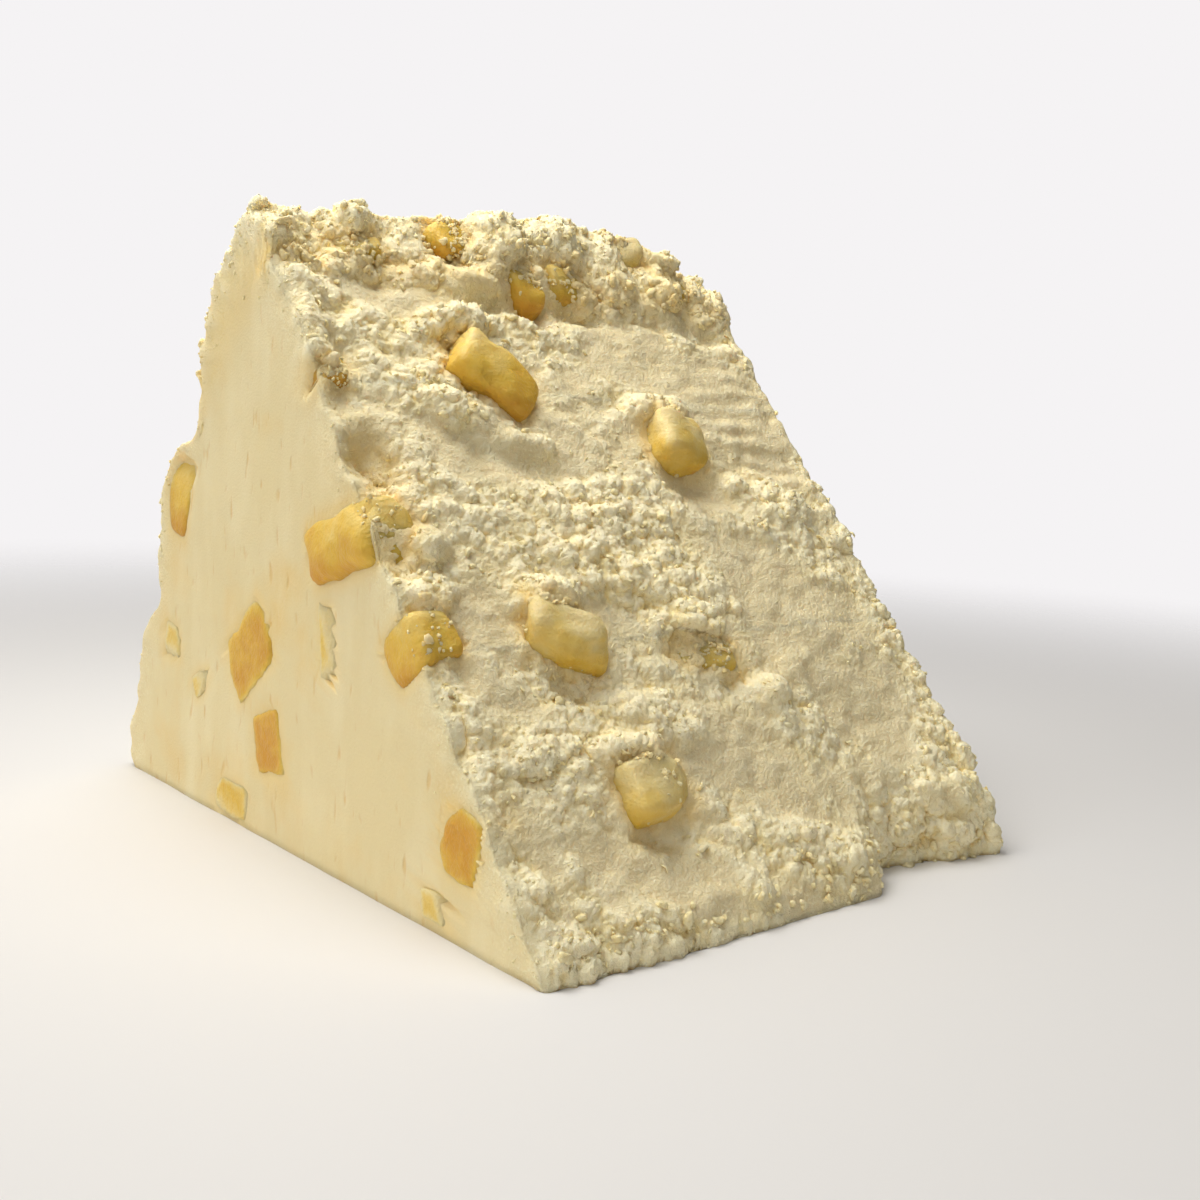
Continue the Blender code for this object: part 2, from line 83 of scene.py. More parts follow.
def share(values: Array | float) -> Array:
    """Numbers held between 0 and 1."""
    return np.clip(values, 0, 1)


def keep_above(points: Array, level: float) -> None:
    """Lifts the points (..., 3) that lie lower than a level up to it, in place."""
    points[..., 2] = np.maximum(points[..., 2], level)


def linear(colour: str) -> tuple[float, float, float, float]:
    """An sRGB hex colour as linear red, green, blue and alpha.

    Args:
        colour: Six hex digits, such as "e8d9a4".

    Returns:
        The linear colour: v / 12.92 up to 0.04045, and ((v + 0.055) / 1.055) ** 2.4 above.
    """
    parts = [int(colour[place : place + 2], 16) / 255 for place in (0, 2, 4)]
    bent = [v / 12.92 if v <= 0.04045 else ((v + 0.055) / 1.055) ** 2.4 for v in parts]
    return (bent[0], bent[1], bent[2], 1.0)


# Noise on points, the same on every run


def lattice_steps(*steps: int) -> list[Array]:
    """Every step (i, j, k) on the lattice whose parts are some of these numbers."""
    return [np.array([i, j, k]) for i in steps for j in steps for k in steps]


def lattice_random(cells: Array, seed: int) -> Array:
    """Three numbers from 0 to 1 for each whole-number lattice place.

    Args:
        cells: Whole-number places, (..., 3).
        seed: Which set of numbers.

    Returns:
        The fraction of a large sine of the place, three times over, (..., 3).
    """
    mixed = cells @ np.array([127.1, 311.7, 74.7]) + seed * 19.19
    turns = np.stack([mixed, mixed * 1.37 + 4.1, mixed * 0.73 + 9.7], -1)
    return np.modf(np.abs(np.sin(turns) * 43758.5453))[0]


def clods(points: Array, width: float, seed: int) -> Array:
    """Rounded lumps side by side.

    Args:
        points: Places in millimetres, (n, 3).
        width: How wide a lump is.
        seed: Which set of lumps.

    Returns:
        1 at a lump's middle, falling with the squared distance to about 0 between lumps, (n,).
    """
    scaled = points / width
    home = np.floor(scaled)
    nearest = np.full(len(points), 9.0)
    for step in lattice_steps(-1, 0, 1):
        cell = home + step
        centre = cell + 0.15 + 0.7 * lattice_random(cell, seed)
        nearest = np.minimum(nearest, np.sum((scaled - centre) ** 2, axis=1))
    return 1 - share(nearest / 0.75)


def soft_noise(points: Array, width: float, seed: int) -> Array:
    """Smooth noise, three values at each point.

    Args:
        points: Places in millimetres, (n, 3).
        width: The spacing of its lattice.
        seed: Which noise.

    Returns:
        Values from -1 to 1, blended between the eight lattice corners with 3t² - 2t³, (n, 3).
    """
    scaled = points / width
    home = np.floor(scaled)
    t = scaled - home
    t = t * t * (3 - 2 * t)
    total = np.zeros((len(points), 3))
    for corner in lattice_steps(0, 1):
        weight = np.prod(np.where(corner == 1, t, 1 - t), axis=1)
        total += lattice_random(home + corner, seed) * weight[:, None]
    return total * 2 - 1


def crumbly_clods(points: Array, width: float, seed: int) -> Array:
    """Clods of uneven outline: their places are first shifted by smooth noise.

    Args:
        points: Places in millimetres, (n, 3).
        width: How wide a lump is.
        seed: Which set of lumps.

    Returns:
        1 at a lump's middle to 0 between lumps, (n,).
    """
    shifted = points + 0.45 * width * soft_noise(points, width * 0.8, seed + 7)
    return clods(shifted, width, seed)


def clod_depth(points: Array, layers: tuple, seed: int) -> Array:
    """Several widths of clods on top of each other, counted from their mean level.

    Args:
        points: Places in millimetres, (n, 3).
        layers: Pairs of clod width and depth.
        seed: The first layer's seed; each next one adds 1.

    Returns:
        The height in millimetres, (n,).
    """
    return sum(
        depth * (clods(points, width, seed + index) - 0.5)
        for index, (width, depth) in enumerate(layers)
    )


@dataclass(frozen=True)
class Form:
    """A rounded bump (height above 0) or hollow on a face, inside an ellipse, in millimetres."""

    u: float
    v: float
    half_u: float
    half_v: float
    height: float
    turn: float = 0.0

    def rise(self, u: Array, v: Array) -> Array:
        """Its height at places on the face.

        Args:
            u: Millimetres along the face.
            v: Millimetres up the face.

        Returns:
            height (1 - q²)², where q is the distance from the middle as a share of the ellipse's.
        """
        turn = math.radians(self.turn)
        along = (u - self.u) * math.cos(turn) + (v - self.v) * math.sin(turn)
        across = (v - self.v) * math.cos(turn) - (u - self.u) * math.sin(turn)
        q_squared = (along / self.half_u) ** 2 + (across / self.half_v) ** 2
        return self.height * (1 - share(q_squared)) ** 2


def forms_rise(u: Array, v: Array, forms: tuple[Form, ...]) -> Array:
    """The sum of several forms' heights at places on a face."""
    return sum((form.rise(u, v) for form in forms), np.zeros_like(u))


def forms(*rows: tuple) -> tuple[Form, ...]:
    """Forms from rows of their fields: place, half sizes, height and turn in degrees."""
    return tuple(Form(*row) for row in rows)


def near(distance: Array, band: float) -> Array:
    """1 on a face, falling smoothly to 0 at some bands away from it."""
    return np.exp(-((distance / band) ** 2))


# Bumps and hollows of the torn slope: mm from the left face, mm up the slope from the thin edge
SLOPE_FORMS = forms(
    (17.5, 58, 13, 3.6, 1.2, -24), (22, 52.6, 12, 3.4, -0.9, -22), (21.5, 65.5, 10, 7.5, -1),
    (29, 37.8, 16, 4.4, 0.7, -26), (46.5, 49.8, 9, 3.6, -1, -14), (58, 47, 11, 3.4, 0.8, -8),
    (60, 54, 10, 3.2, -0.6), (14.5, 26.8, 9, 3.4, -1.2, -20), (24, 21.6, 13, 4, 0.7, -22),
    (18.5, 10.4, 8, 3, -1, -12), (40.2, 23.1, 3.4, 2.8, 1.6), (45.5, 26, 4.6, 3, 0.8),
    (55, 30, 12, 4, 0.5, -20), (52, 18, 12, 6, -0.5), (38, 6, 9, 3.6, 1.1, -30), (20, 3, 24, 4.2, 0.8),
    (58.5, 8.5, 8, 3.8, 1.3, 8), (38, 75.6, 21, 2.8, -1.5), (28.4, 81.9, 5.2, 4.4, 2.4),
    (24.7, 78, 4.4, 3.4, 1.9), (54.5, 79.6, 6, 4, 2.2), (47, 81, 4.6, 3.6, 1.6), (61, 74.5, 6, 3, -1.4),
    (1.2, 66.5, 2.8, 8.5, 1.8), (2, 74, 3.2, 3.6, 1.5), (0.8, 80, 3.6, 3.4, 1.5),
    (3.4, 52.4, 3.8, 5.8, -3.4), (5, 42.6, 3.4, 3, 1.7), (3.5, 37, 3, 2.4, 1.2),
)

# Bumps and hollows of the rim: mm from the left face, mm up from the base
RIM_FORMS = forms(
    (0, 56, 12, 9, 1.4), (0, 43.5, 9, 5, -2.6), (2, 34, 9, 8, 2.4), (0, 23, 8, 5, -2), (2, 14, 10, 6, 1.2),
    (22, 48, 12, 8, -1.6, 20), (36, 30, 14, 9, 1.6, -15), (50, 52, 10, 7, 1.3), (56, 16, 12, 7, -1.5, 10),
    (26, 10, 11, 6, 1.2),
)

# Plates of the slope that broke or were smeared smooth: mm from the left face, mm up the slope
PLATES = forms(
    (49, 69.3, 18, 6, 1, -14), (52, 36, 13, 8, 1, -38), (33.5, 14, 10.5, 6.5, 1, -35),
    (19, 5.5, 10, 5, 1, -30), (14.5, 52.3, 12, 4, 0.5, -13), (7.5, 34, 4.5, 5.5, 0.8), (62, 58, 9, 12, 0.9),
    (13, 75, 13, 4, 0.7, -15), (50, 22, 9, 6, 0.7, -20),
)

# Bands of crumb that stand between the plates
CRUMB_BANDS = forms(
    (13, 61.2, 14, 5, 1, -25), (30, 45.4, 16, 5.5, 1, -24), (28.5, 36.7, 12, 4.6, 1, -28),
    (34, 28.6, 12, 6, 1, -38), (12.5, 27.8, 10, 5.6, 1, -29), (10, 18.5, 8, 7, 1, -40),
    (35, 6, 9.5, 5.5, 1, -30), (63, 11.5, 5, 13, 1), (9, 1.5, 12, 4.6, 1), (55, 50, 10, 3.6, 0.7, -12),
    (5, 51.5, 6, 6, 0.7),
)


@dataclass(frozen=True)
class Sector:
    """The plain wedge, a sector of a low wheel lying on one cut face, in millimetres."""

    radius: float = 85.0
    angle: float = math.radians(50.0)
    thickness: float = 66.0
    rim_bulge: float = 3.5

    @property
    def tip(self) -> Array:
        """The left end of the thin edge."""
        return np.array([-self.thickness / 2, -self.radius / 2, 0.0])

    @property
    def up_slope(self) -> Array:
        """The direction up the slope."""
        return np.array([0.0, math.cos(self.angle), math.sin(self.angle)])

    @property
    def off_slope(self) -> Array:
        """The direction out of the slope."""
        return np.array([0.0, -math.sin(self.angle), math.cos(self.angle)])

    def rim_radius(self, angle: Array) -> Array:
        """Distance from the thin edge to the rim.

        Args:
            angle: The angle above the base, in radians.

        Returns:
            The chord between the two cuts, R cos(half) / cos(angle - half), moved towards the
            full arc by the share that gives the bulge.
        """
        half = self.angle / 2
        chord = self.radius * math.cos(half) / np.cos(angle - half)
        full_bulge = self.radius * (1 - math.cos(half))
        return chord + (self.radius - chord) * self.rim_bulge / full_bulge


def mesh_piece(
    name: str,
    points: Array,
    faces: Array,
    material: bpy.types.Material,
    numbers: dict[str, Array],
    replaced: tuple[str, ...] = (),
) -> bpy.types.Object:
    """Puts a closed surface into the scene as a finished piece.

    Args:
        name: The piece's name.
        points: Its vertices in millimetres, (n, 3).
        faces: Triangles as vertex numbers (m, 3), counter-clockwise from outside.
        material: What it is made of.
        numbers: Named numbers for each vertex, which the material reads.
        replaced: The CAD nodes that it stands for.

    Returns:
        The new object, at the origin, riding on the body.
    """
    mesh = bpy.data.meshes.new(name)
    count, sides = faces.shape
    mesh.vertices.add(len(points))
    mesh.vertices.foreach_set("co", (points * MM).astype(np.float32).ravel())
    mesh.loops.add(count * sides)
    mesh.loops.foreach_set("vertex_index", faces.astype(np.int32).ravel())
    mesh.polygons.add(count)
    mesh.polygons.foreach_set("loop_start", np.arange(0, count * sides, sides, dtype=np.int32))
    mesh.update(calc_edges=True)
    mesh.validate()
    mesh.shade_smooth()
    mesh.materials.append(material)
    for key, values in numbers.items():
        attribute = mesh.attributes.new(key, "FLOAT", "POINT")
        attribute.data.foreach_set("value", values.astype(np.float32).ravel())
    piece = bpy.data.objects.new(name, mesh)
    bpy.context.scene.collection.objects.link(piece)
    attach(piece, BODY)
    if replaced:
        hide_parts(*replaced)
    log.info("%s: %d triangles", name, count)
    return piece


def triangles(*corners: tuple[Array, Array, Array]) -> Array:
    """Faces (m, 3) from sets of three arrays of vertex numbers."""
    return np.concatenate([np.stack(three, -1).reshape(-1, 3) for three in corners])


def closed_grid_faces(columns: int, around: int) -> Array:
    """Faces of a grid that is closed round v and ends in a pole at both ends of u.

    Args:
        columns: How many rings of points there are along u.
        around: How many points each ring has.

    Returns:
        Triangles (m, 3), two for each square. The poles are the two vertices after the grid's.
    """
    ring = np.arange(around)
    after = np.roll(ring, -1)
    start = np.arange(columns - 1)[:, None] * around
    a, b = start + ring, start + around + ring
    c, d = start + around + after, start + after
    end = (columns - 1) * around
    pole = np.full(around, columns * around)
    return triangles((a, b, c), (a, c, d), (pole, ring, after), (end + ring, pole + 1, end + after))


def ball(rings: int, around: int) -> tuple[Array, Array]:
    """Directions all round, as the rings of a globe and its two poles.

    Args:
        rings: How many rings lie between the poles.
        around: How many directions each ring has.

    Returns:
        The directions (sin p cos t, sin p sin t, cos p), with the poles last, and its triangles.
    """
    polar = np.linspace(0, math.pi, rings + 2)[1:-1, None]
    turn = np.linspace(0, 2 * math.pi, around, endpoint=False)
    ring = np.sin(polar)
    globe = np.stack([ring * np.cos(turn), ring * np.sin(turn), np.cos(polar) + 0 * turn], -1)
    directions = np.concatenate([globe.reshape(-1, 3), [[0, 0, 1], [0, 0, -1]]])
    return directions, closed_grid_faces(rings, around)


def blur_round(values: Array, passes: int) -> Array:
    """Softens a closed grid (u, v, 3) along both ways with the weights 1/4, 1/2, 1/4.

    Args:
        values: The grid; v is closed, u is open.
        passes: How many times it is softened.

    Returns:
        The softened grid, with its first and last rings softened along v alone.
    """
    for _ in range(passes):
        values = 0.25 * np.roll(values, 1, 1) + 0.5 * values + 0.25 * np.roll(values, -1, 1)
        inner = 0.25 * values[:-2] + 0.5 * values[1:-1] + 0.25 * values[2:]
        values = np.concatenate([values[:1], inner, values[-1:]])
    return values


def grid_slopes(points: Array, columns: int, around: int) -> Array:
    """How a grid that is closed round v slopes.

    Args:
        points: The grid's points in millimetres, (n, 3).
        columns: How many it has along u.
        around: How many it has round v.

    Returns:
        The cross product of its steps along u and v at each point, (n, 3): it points outwards,
        and its length is the area round the point.
    """
    grid = points.reshape(columns, around, 3)
    across = (np.roll(grid, -1, 1) - np.roll(grid, 1, 1)) / 2
    return np.cross(np.gradient(grid, axis=0), across).reshape(-1, 3)


@dataclass
class CheeseBody:
    """The cheese: one closed surface from the left face, along the wedge, to the right face."""

    sector: Sector = field(default_factory=Sector)
    slope_step: float = 0.32
    rim_step: float = 0.8
    base_step: float = 3.0
    cap_rings: int = 26
    far_cap_rings: int = 12
    edge_passes: int = 3
    edge_band: float = 3.0
    side_band: float = 1.0
    base_band: float = 3.0
    shoulder_from: float = 75.0
    shoulder_band: float = 4.0
    middle_back: float = 0.55
    middle_up: float = 0.36
    cap_power: float = 1.5
    slope_clods: tuple = ((5.2, 0.80), (2.8, 0.45))
    shoulder_clods: tuple = ((6.5, 1.50), (3.4, 0.90))
    broken_clods: tuple = ((4.6, 2.20), (2.4, 0.90))
    rim_clods: tuple = ((7.5, 1.10), (3.6, 0.55))
    edge_clods: tuple = ((4.0, 0.90),)
    side_waves: tuple = ((14.0, 0.22),)
    ridge_lift: float = 4.2
    ridge_lift_at: float = 40.0
    ridge_lift_half: float = 24.0
    ridge_wear: float = 1.6
    ridge_wear_half: float = 12.0
    ridge_band: float = 7.0
    ridge_reach: float = 9.0
    under_crust: float = 0.9
    under_crust_band: float = 1.6
    break_band: float = 1.6
    break_full: float = 1.5
    flat_below: float = 0.75
    sag: float = 0.35
    ripple_step: float = 2.7
    ripple_from: float = 48.0
    ripple_fade: float = 10.0
    ripple_up: float = 56.0
    ripple_half: float = 12.0
    # The shoulder's tint: partly syrup stain, partly painted glow
    shoulder_stain_and_painted_glow: float = 0.45
    shoulder_stain_and_painted_glow_to: float = 78.0
    shoulder_stain_and_painted_glow_fade: float = 5.0
    # Painted shade in the notch of the left edge, in the stain's tint
    notch_painted_shade: float = 0.35
    notch_at: tuple = (3.4, 52.4)
    notch_half: tuple = (3.8, 4.6)
    broken_plan: tuple = (
        (42.6, 0.0), (43.6, 2.2), (45.0, 5.8), (50.0, 6.4), (55.5, 5.0), (61.0, 3.2), (66.0, 2.4),
    )

    def profile(self) -> Array:
        """The outline of the side face as a closed loop of (back, up) places.

        Returns:
            Places from the thin edge up the slope, down the rim and forward along the base,
            (n, 2). Each part has its own spacing, and the ridge has the slope's.
        """
        sector = self.sector
        up = np.arange(0, sector.radius, self.slope_step)
        slope = np.outer(up, [math.cos(sector.angle), math.sin(sector.angle)])
        ridge = sector.angle - np.arange(0, self.ridge_reach, self.slope_step) / sector.radius
        steps = int(sector.radius * ridge[-1] / self.rim_step)
        angle = np.append(ridge[:-1], np.linspace(ridge[-1], 0, steps, endpoint=False))
        self.crust_rows = len(up) + len(ridge) - 1
        rim = sector.rim_radius(angle)[:, None] * np.stack([np.cos(angle), np.sin(angle)], -1)
        back = np.arange(sector.radius, 0, -self.base_step)
        base = np.stack([back, np.zeros_like(back)], -1)
        return np.concatenate([slope, rim, base])

    def base_grid(self) -> tuple[Array, Array]:
        """The plain wedge as a grid, before anything is crumbled.

        Returns:
            The grid (u, v, 3) of places in millimetres from the left end of the thin edge, and
            the two poles (2, 3), the middles of the side faces.
        """
        outline = self.profile()
        middle = outline.max(0) * np.array([self.middle_back, self.middle_up])
        near_share, far_share = (
            1 - np.linspace(1, 0, count + 2)[1:-1] ** self.cap_power
            for count in (self.cap_rings, self.far_cap_rings)
        )
        columns = int(self.sector.thickness / self.slope_step)
        across = np.concatenate([
            np.zeros(self.cap_rings),
            np.linspace(0, self.sector.thickness, columns),
            np.full(self.far_cap_rings, self.sector.thickness),
        ])
        outwards = np.concatenate([near_share, np.ones(columns), far_share[::-1]])
        flat = middle + outwards[:, None, None] * (outline - middle)
        x = np.broadcast_to(across[:, None, None], flat.shape[:2] + (1,))
        poles = np.array([[0.0, *middle], [self.sector.thickness, *middle]])
        return np.concatenate([x, flat], -1), poles

    def break_corner(self, grid: Array) -> tuple[Array, Array]:
        """Sets the broken corner's points back behind the plan of the break.

        Args:
            grid: Places from the left end of the thin edge, (u, v, 3).

        Returns:
            The grid, where back' = wall + back * band / (wall + band) wherever back is under
            wall + band, and 0 to 1 for how far each point was moved.
        """
        plan = np.array(self.broken_plan)
        wall = np.interp(grid[..., 0], plan[:, 0], plan[:, 1], left=0.0)
        band = self.break_band
        back = grid[..., 1]
        squeezed = wall + back * band / (wall + band)
        moved = grid.copy()
        moved[..., 1] = np.where(back < wall + band, squeezed, back)
        return moved, share((moved[..., 1] - back) / self.break_full)

    def masks(self, flat: Array) -> dict[str, Array]:
        """Where each kind of surface is, from the plain wedge's points.

        Args:
            flat: Places from the left end of the thin edge, (n, 3).

        Returns:
            Named numbers for each point: places on the faces, and 0 to 1 weights.
        """
        sector = self.sector
        across, back, height = flat.T
        up = flat @ sector.up_slope
        angle = np.arctan2(height, back)
        in_from_rim = sector.rim_radius(angle) - np.hypot(back, height)
        from_side = np.minimum(across, sector.thickness - across)
        return {
            "across": across,
            "up": up,
            "height": height,
            "angle": angle,
            "from_side": from_side,
            "slope": near(flat @ sector.off_slope, self.edge_band),
            "rim": near(in_from_rim, self.edge_band),
            "side": near(from_side, self.side_band),
            "edge": near(from_side, self.edge_band),
            "off_base": share(height / self.base_band),
            "shoulder": share((up - self.shoulder_from) / self.shoulder_band),
        }

    def coarse_shift(self, points: Array, normals: Array, at: dict[str, Array]) -> Array:
        """How far the clods, ledges, hollows and the crumbled ridge move each point.

        Args:
            points: Places in the frame, in millimetres, (n, 3).
            normals: The normals of the wedge with its break and soft edges, (n, 3).
            at: The masks.

        Returns:
            The shift in millimetres, (n, 3).
        """
        sector = self.sector
        slope_rise = forms_rise(at["across"], at["up"], SLOPE_FORMS)
        plain = 0.4 + 0.6 * self.crumble_share(points, at)
        slope_rise += clod_depth(points, self.slope_clods, 1) * (1 - at["shoulder"]) * plain
        slope_rise += clod_depth(points, self.shoulder_clods, 11) * at["shoulder"]
        rim_rise = forms_rise(at["across"], at["height"], RIM_FORMS)
        rim_rise += clod_depth(points, self.rim_clods, 21)
        edge_rise = clod_depth(points, self.edge_clods, 31) * at["edge"]
        broken_rise = clod_depth(points, self.broken_clods, 41) * at["broken"]
        side_wave = clod_depth(points, self.side_waves, 51) * at["side"]
        side_wave += 0.09 * soft_noise(points, 3.2, 52)[:, 0] * at["side"]
        zero = np.zeros_like(at["angle"])
        radial = np.stack([zero, np.cos(at["angle"]), np.sin(at["angle"])], -1)
        outward = np.sign(at["across"] - sector.thickness / 2)[:, None] * np.array([1.0, 0, 0])
        slope_rise *= 1 - 0.7 * at["broken"]
        slope_rise += forms_rise(at["across"], at["up"], self.hollows + self.lips)
        shift = sector.off_slope * ((slope_rise + edge_rise) * at["slope"] * at["off_base"])[:, None]
        shift += radial * ((rim_rise + edge_rise) * at["rim"] * at["off_base"])[:, None]
        shift += normals * (broken_rise * at["off_base"])[:, None] + outward * side_wave[:, None]
        hump = self.ridge_lift * near(at["across"] - self.ridge_lift_at, self.ridge_lift_half)
        hump -= self.ridge_wear * near(at["across"] - sector.thickness, self.ridge_wear_half)
        hump -= self.ridge_lift * near(np.array(self.ridge_lift_at), self.ridge_lift_half)
        reach = share((at["up"] - sector.radius) / self.ridge_band + 1)
        shift[:, 2] += hump * at["rim"] * reach
        return shift

    def crumble_share(self, points: Array, at: dict[str, Array]) -> Array:
        """How crumbly each point is, from 0 where smeared to 1 where torn.

        Args:
            points: Places in the frame, in millimetres, (n, 3).
            at: The masks.

        Returns:
            Noise in bands across the slope, less the smeared patches, (n,).
        """
        stretched = points * np.array([0.5, 1.0, 1.0])
        bands = 0.42 + 0.75 * soft_noise(stretched, 6.0, 61)[:, 0]
        bands += 0.60 * soft_noise(points, 2.6, 62)[:, 0]
        bands += 1.0 * forms_rise(at["across"], at["up"], CRUMB_BANDS) * at["slope"]
        bands -= 1.1 * forms_rise(at["across"], at["up"], PLATES) * at["slope"]
        bands += 0.9 * forms_rise(at["across"], at["up"], self.lips) * at["slope"]
        bands += 0.55 * at["shoulder"] + 0.6 * at["edge"]
        left = 1 - 0.6 * near(at["across"], 1.6) * (1 - at["shoulder"])
        return share((bands + 0.02) / 1.15) * left

    def fine_rise(self, points: Array, at: dict[str, Array], crumbly: Array) -> Array:
        """The height of the crumb: grains, small clods and the ripples of the tear.

        Args:
            points: Places in the frame, in millimetres, (n, 3).
            at: The masks.
            crumbly: How crumbly each point is.

        Returns:
            The height in millimetres, (n,), around 0: two widths of clods where it is crumbly,
            and elsewhere soft waves, with ripples every few millimetres up the right of the slope.
        """
        lumps = 0.95 * (crumbly_clods(points, 2.9, 71) ** 1.4 - 0.30)
        lumps += 0.5 * (crumbly_clods(points, 1.5, 72) - 0.45)
        smooth = 0.12 * soft_noise(points * np.array([0.5, 1, 1]), 1.0, 74)[:, 0]
        smooth += 0.20 * soft_noise(points, 2.4, 75)[:, 0]
        wander = 2.6 * soft_noise(points, 7.0, 76)[:, 0]
        ripples = np.sin(2 * math.pi * at["up"] / self.ripple_step + wander)
        ripple_reach = share((at["across"] - self.ripple_from) / self.ripple_fade)
        ripple_reach *= near(at["up"] - self.ripple_up, self.ripple_half)
        ripple_reach *= share(0.6 + soft_noise(points, 5.0, 77)[:, 0])
        smooth += 0.20 * ripples * ripple_reach
        return crumbly * lumps + (1 - crumbly) * smooth

    def build(self, ginger: list["GingerDice"], material: bpy.types.Material) -> None:
        """Shapes the cheese, keeps what the crust and the crumbs need, and makes the piece.

        Args:
            ginger: The pieces of ginger, which press dents and stain the cheese round them.
            material: The cheese.
        """
        sector = self.sector
        shown = [dice for dice in ginger if dice.on_slope]
        self.hollows = tuple(dice.hollow(sector) for dice in shown)
        self.lips = tuple(dice.lip(sector) for dice in shown if "edge" not in dice.name)
        grid, poles = self.base_grid()
        self.columns, self.around, _ = grid.shape
        self.width = self.columns - self.cap_rings - self.far_cap_rings
        self.crust = np.s_[self.cap_rings : self.cap_rings + self.width, : self.crust_rows]
        at = self.masks(grid.reshape(-1, 3))
        broken, set_back = self.break_corner(grid)
        at["broken"] = set_back.ravel()
        points = blur_round(broken, self.edge_passes).reshape(-1, 3) + sector.tip
        moved = points + self.coarse_shift(grid.reshape(-1, 3) + sector.tip, self.normals(points), at)
        crumbly = np.maximum(self.crumble_share(points, at), 0.8 * at["broken"])
        torn = share(at["slope"] + at["rim"] + 0.8 * at["edge"])
        torn *= 1 - 0.85 * at["side"] * (1 - at["slope"]) * (1 - at["rim"])
        fine = self.fine_rise(moved, at, crumbly) * torn * share(at["height"])
        outward = self.normals(blur_round(moved.reshape(grid.shape), 2))
        moved = moved + outward * fine[:, None]
        moved -= sector.up_slope * (self.sag * np.clip(fine, 0, None) * torn * at["slope"])[:, None]
        # Syrup stains the paste round the ginger. The shoulder's tint is partly syrup stain and partly a
        # painted glow, and the notch in the left edge gets painted shade in the same tint.
        above_shoulder_stain_and_painted_glow = share((at["up"] - self.shoulder_stain_and_painted_glow_to) / self.shoulder_stain_and_painted_glow_fade)
        stain = self.shoulder_stain_and_painted_glow * at["shoulder"] * (1 - above_shoulder_stain_and_painted_glow)
        for dice in ginger:
            moved -= outward * dice.dent(moved, sector)[:, None]
            stain = np.maximum(stain, dice.stain(moved))
        # Painted shade, in the stain's tint, in the notch in the left edge
        notch = self.notch_painted_shade * near(at["across"] - self.notch_at[0], self.notch_half[0])
        notch *= near(at["up"] - self.notch_at[1], self.notch_half[1])
        stain += notch * at["slope"]
        moved[at["height"] < self.flat_below, 2] = 0.0
        keep_above(moved, 0.0)
        # The relief height goes to the material, which paints a highlight where it is high and shade where
        # it is low
        numbers = {"height_for_painted_light": fine, "torn": torn, "crumbly": crumbly, "stain": stain}
        self.at = at | {"crumbly": crumbly * torn, "torn": torn, "fine": fine, "stain": stain}
        self.surface, self.outward = moved, self.normals(moved)
        self.room = np.linalg.norm(grid_slopes(moved, self.columns, self.around), axis=-1)
        covered = np.zeros(grid.shape[:2])
        covered[self.crust] = self.crust_inside()
        sunk = self.under_crust * share(covered.ravel() / self.under_crust_band)
        lowered = moved - self.outward * sunk[:, None]
        keep_above(lowered, 0.0)
        mesh_piece(
            "cheese_body",
            np.concatenate([lowered, poles + sector.tip]),
            closed_grid_faces(self.columns, self.around),
            material,
            {name: np.append(values, [0, 0]) for name, values in numbers.items()},
            ("wedge",),
        )

    def normals(self, points: Array) -> Array:
        """Unit normals of the body's grid points, (n, 3)."""
        return unit(grid_slopes(points, self.columns, self.around))

    def crust_inside(self) -> Array:
        """How far each point that the crust covers is from the crust's border.

        Returns:
            Grid steps to the nearest border times the step, in millimetres, (u, v).
        """
        across = np.minimum(np.arange(self.width), np.arange(self.width)[::-1])[:, None]
        rows = np.arange(self.crust_rows)
        return np.minimum(across, np.minimum(rows, rows[::-1])) * self.slope_step

    def slope_level(self, points: Array) -> Array:
        """How high the finished slope stands over its plain plane, near each of some points.

        Args:
            points: Places in the frame, in millimetres, (n, 3).

        Returns:
            The height at the nearest grid point of the slope, (n,).
        """
        sector = self.sector
        rows = int(sector.radius / self.slope_step)
        away = points - sector.tip
        last = self.width - 1
        column = np.clip(away[:, 0] / sector.thickness * last, 0, last)
        row = np.clip(away @ sector.up_slope / self.slope_step, 0, rows - 1)
        place = (self.cap_rings + column.round().astype(int)) * self.around + row.round().astype(int)
        return (self.surface[place] - sector.tip) @ sector.off_slope


def twice(grid: Array) -> Array:
    """Makes a grid twice as fine.

    Args:
        grid: Its values, (u, v, ...).

    Returns:
        The grid with a new value halfway between each two, both ways.
    """
    wide = np.repeat(grid, 2, 0)[:-1]
    wide[1::2] = (grid[:-1] + grid[1:]) / 2
    fine = np.repeat(wide, 2, 1)[:, :-1]
    fine[:, 1::2] = (wide[:, :-1] + wide[:, 1:]) / 2
    return fine


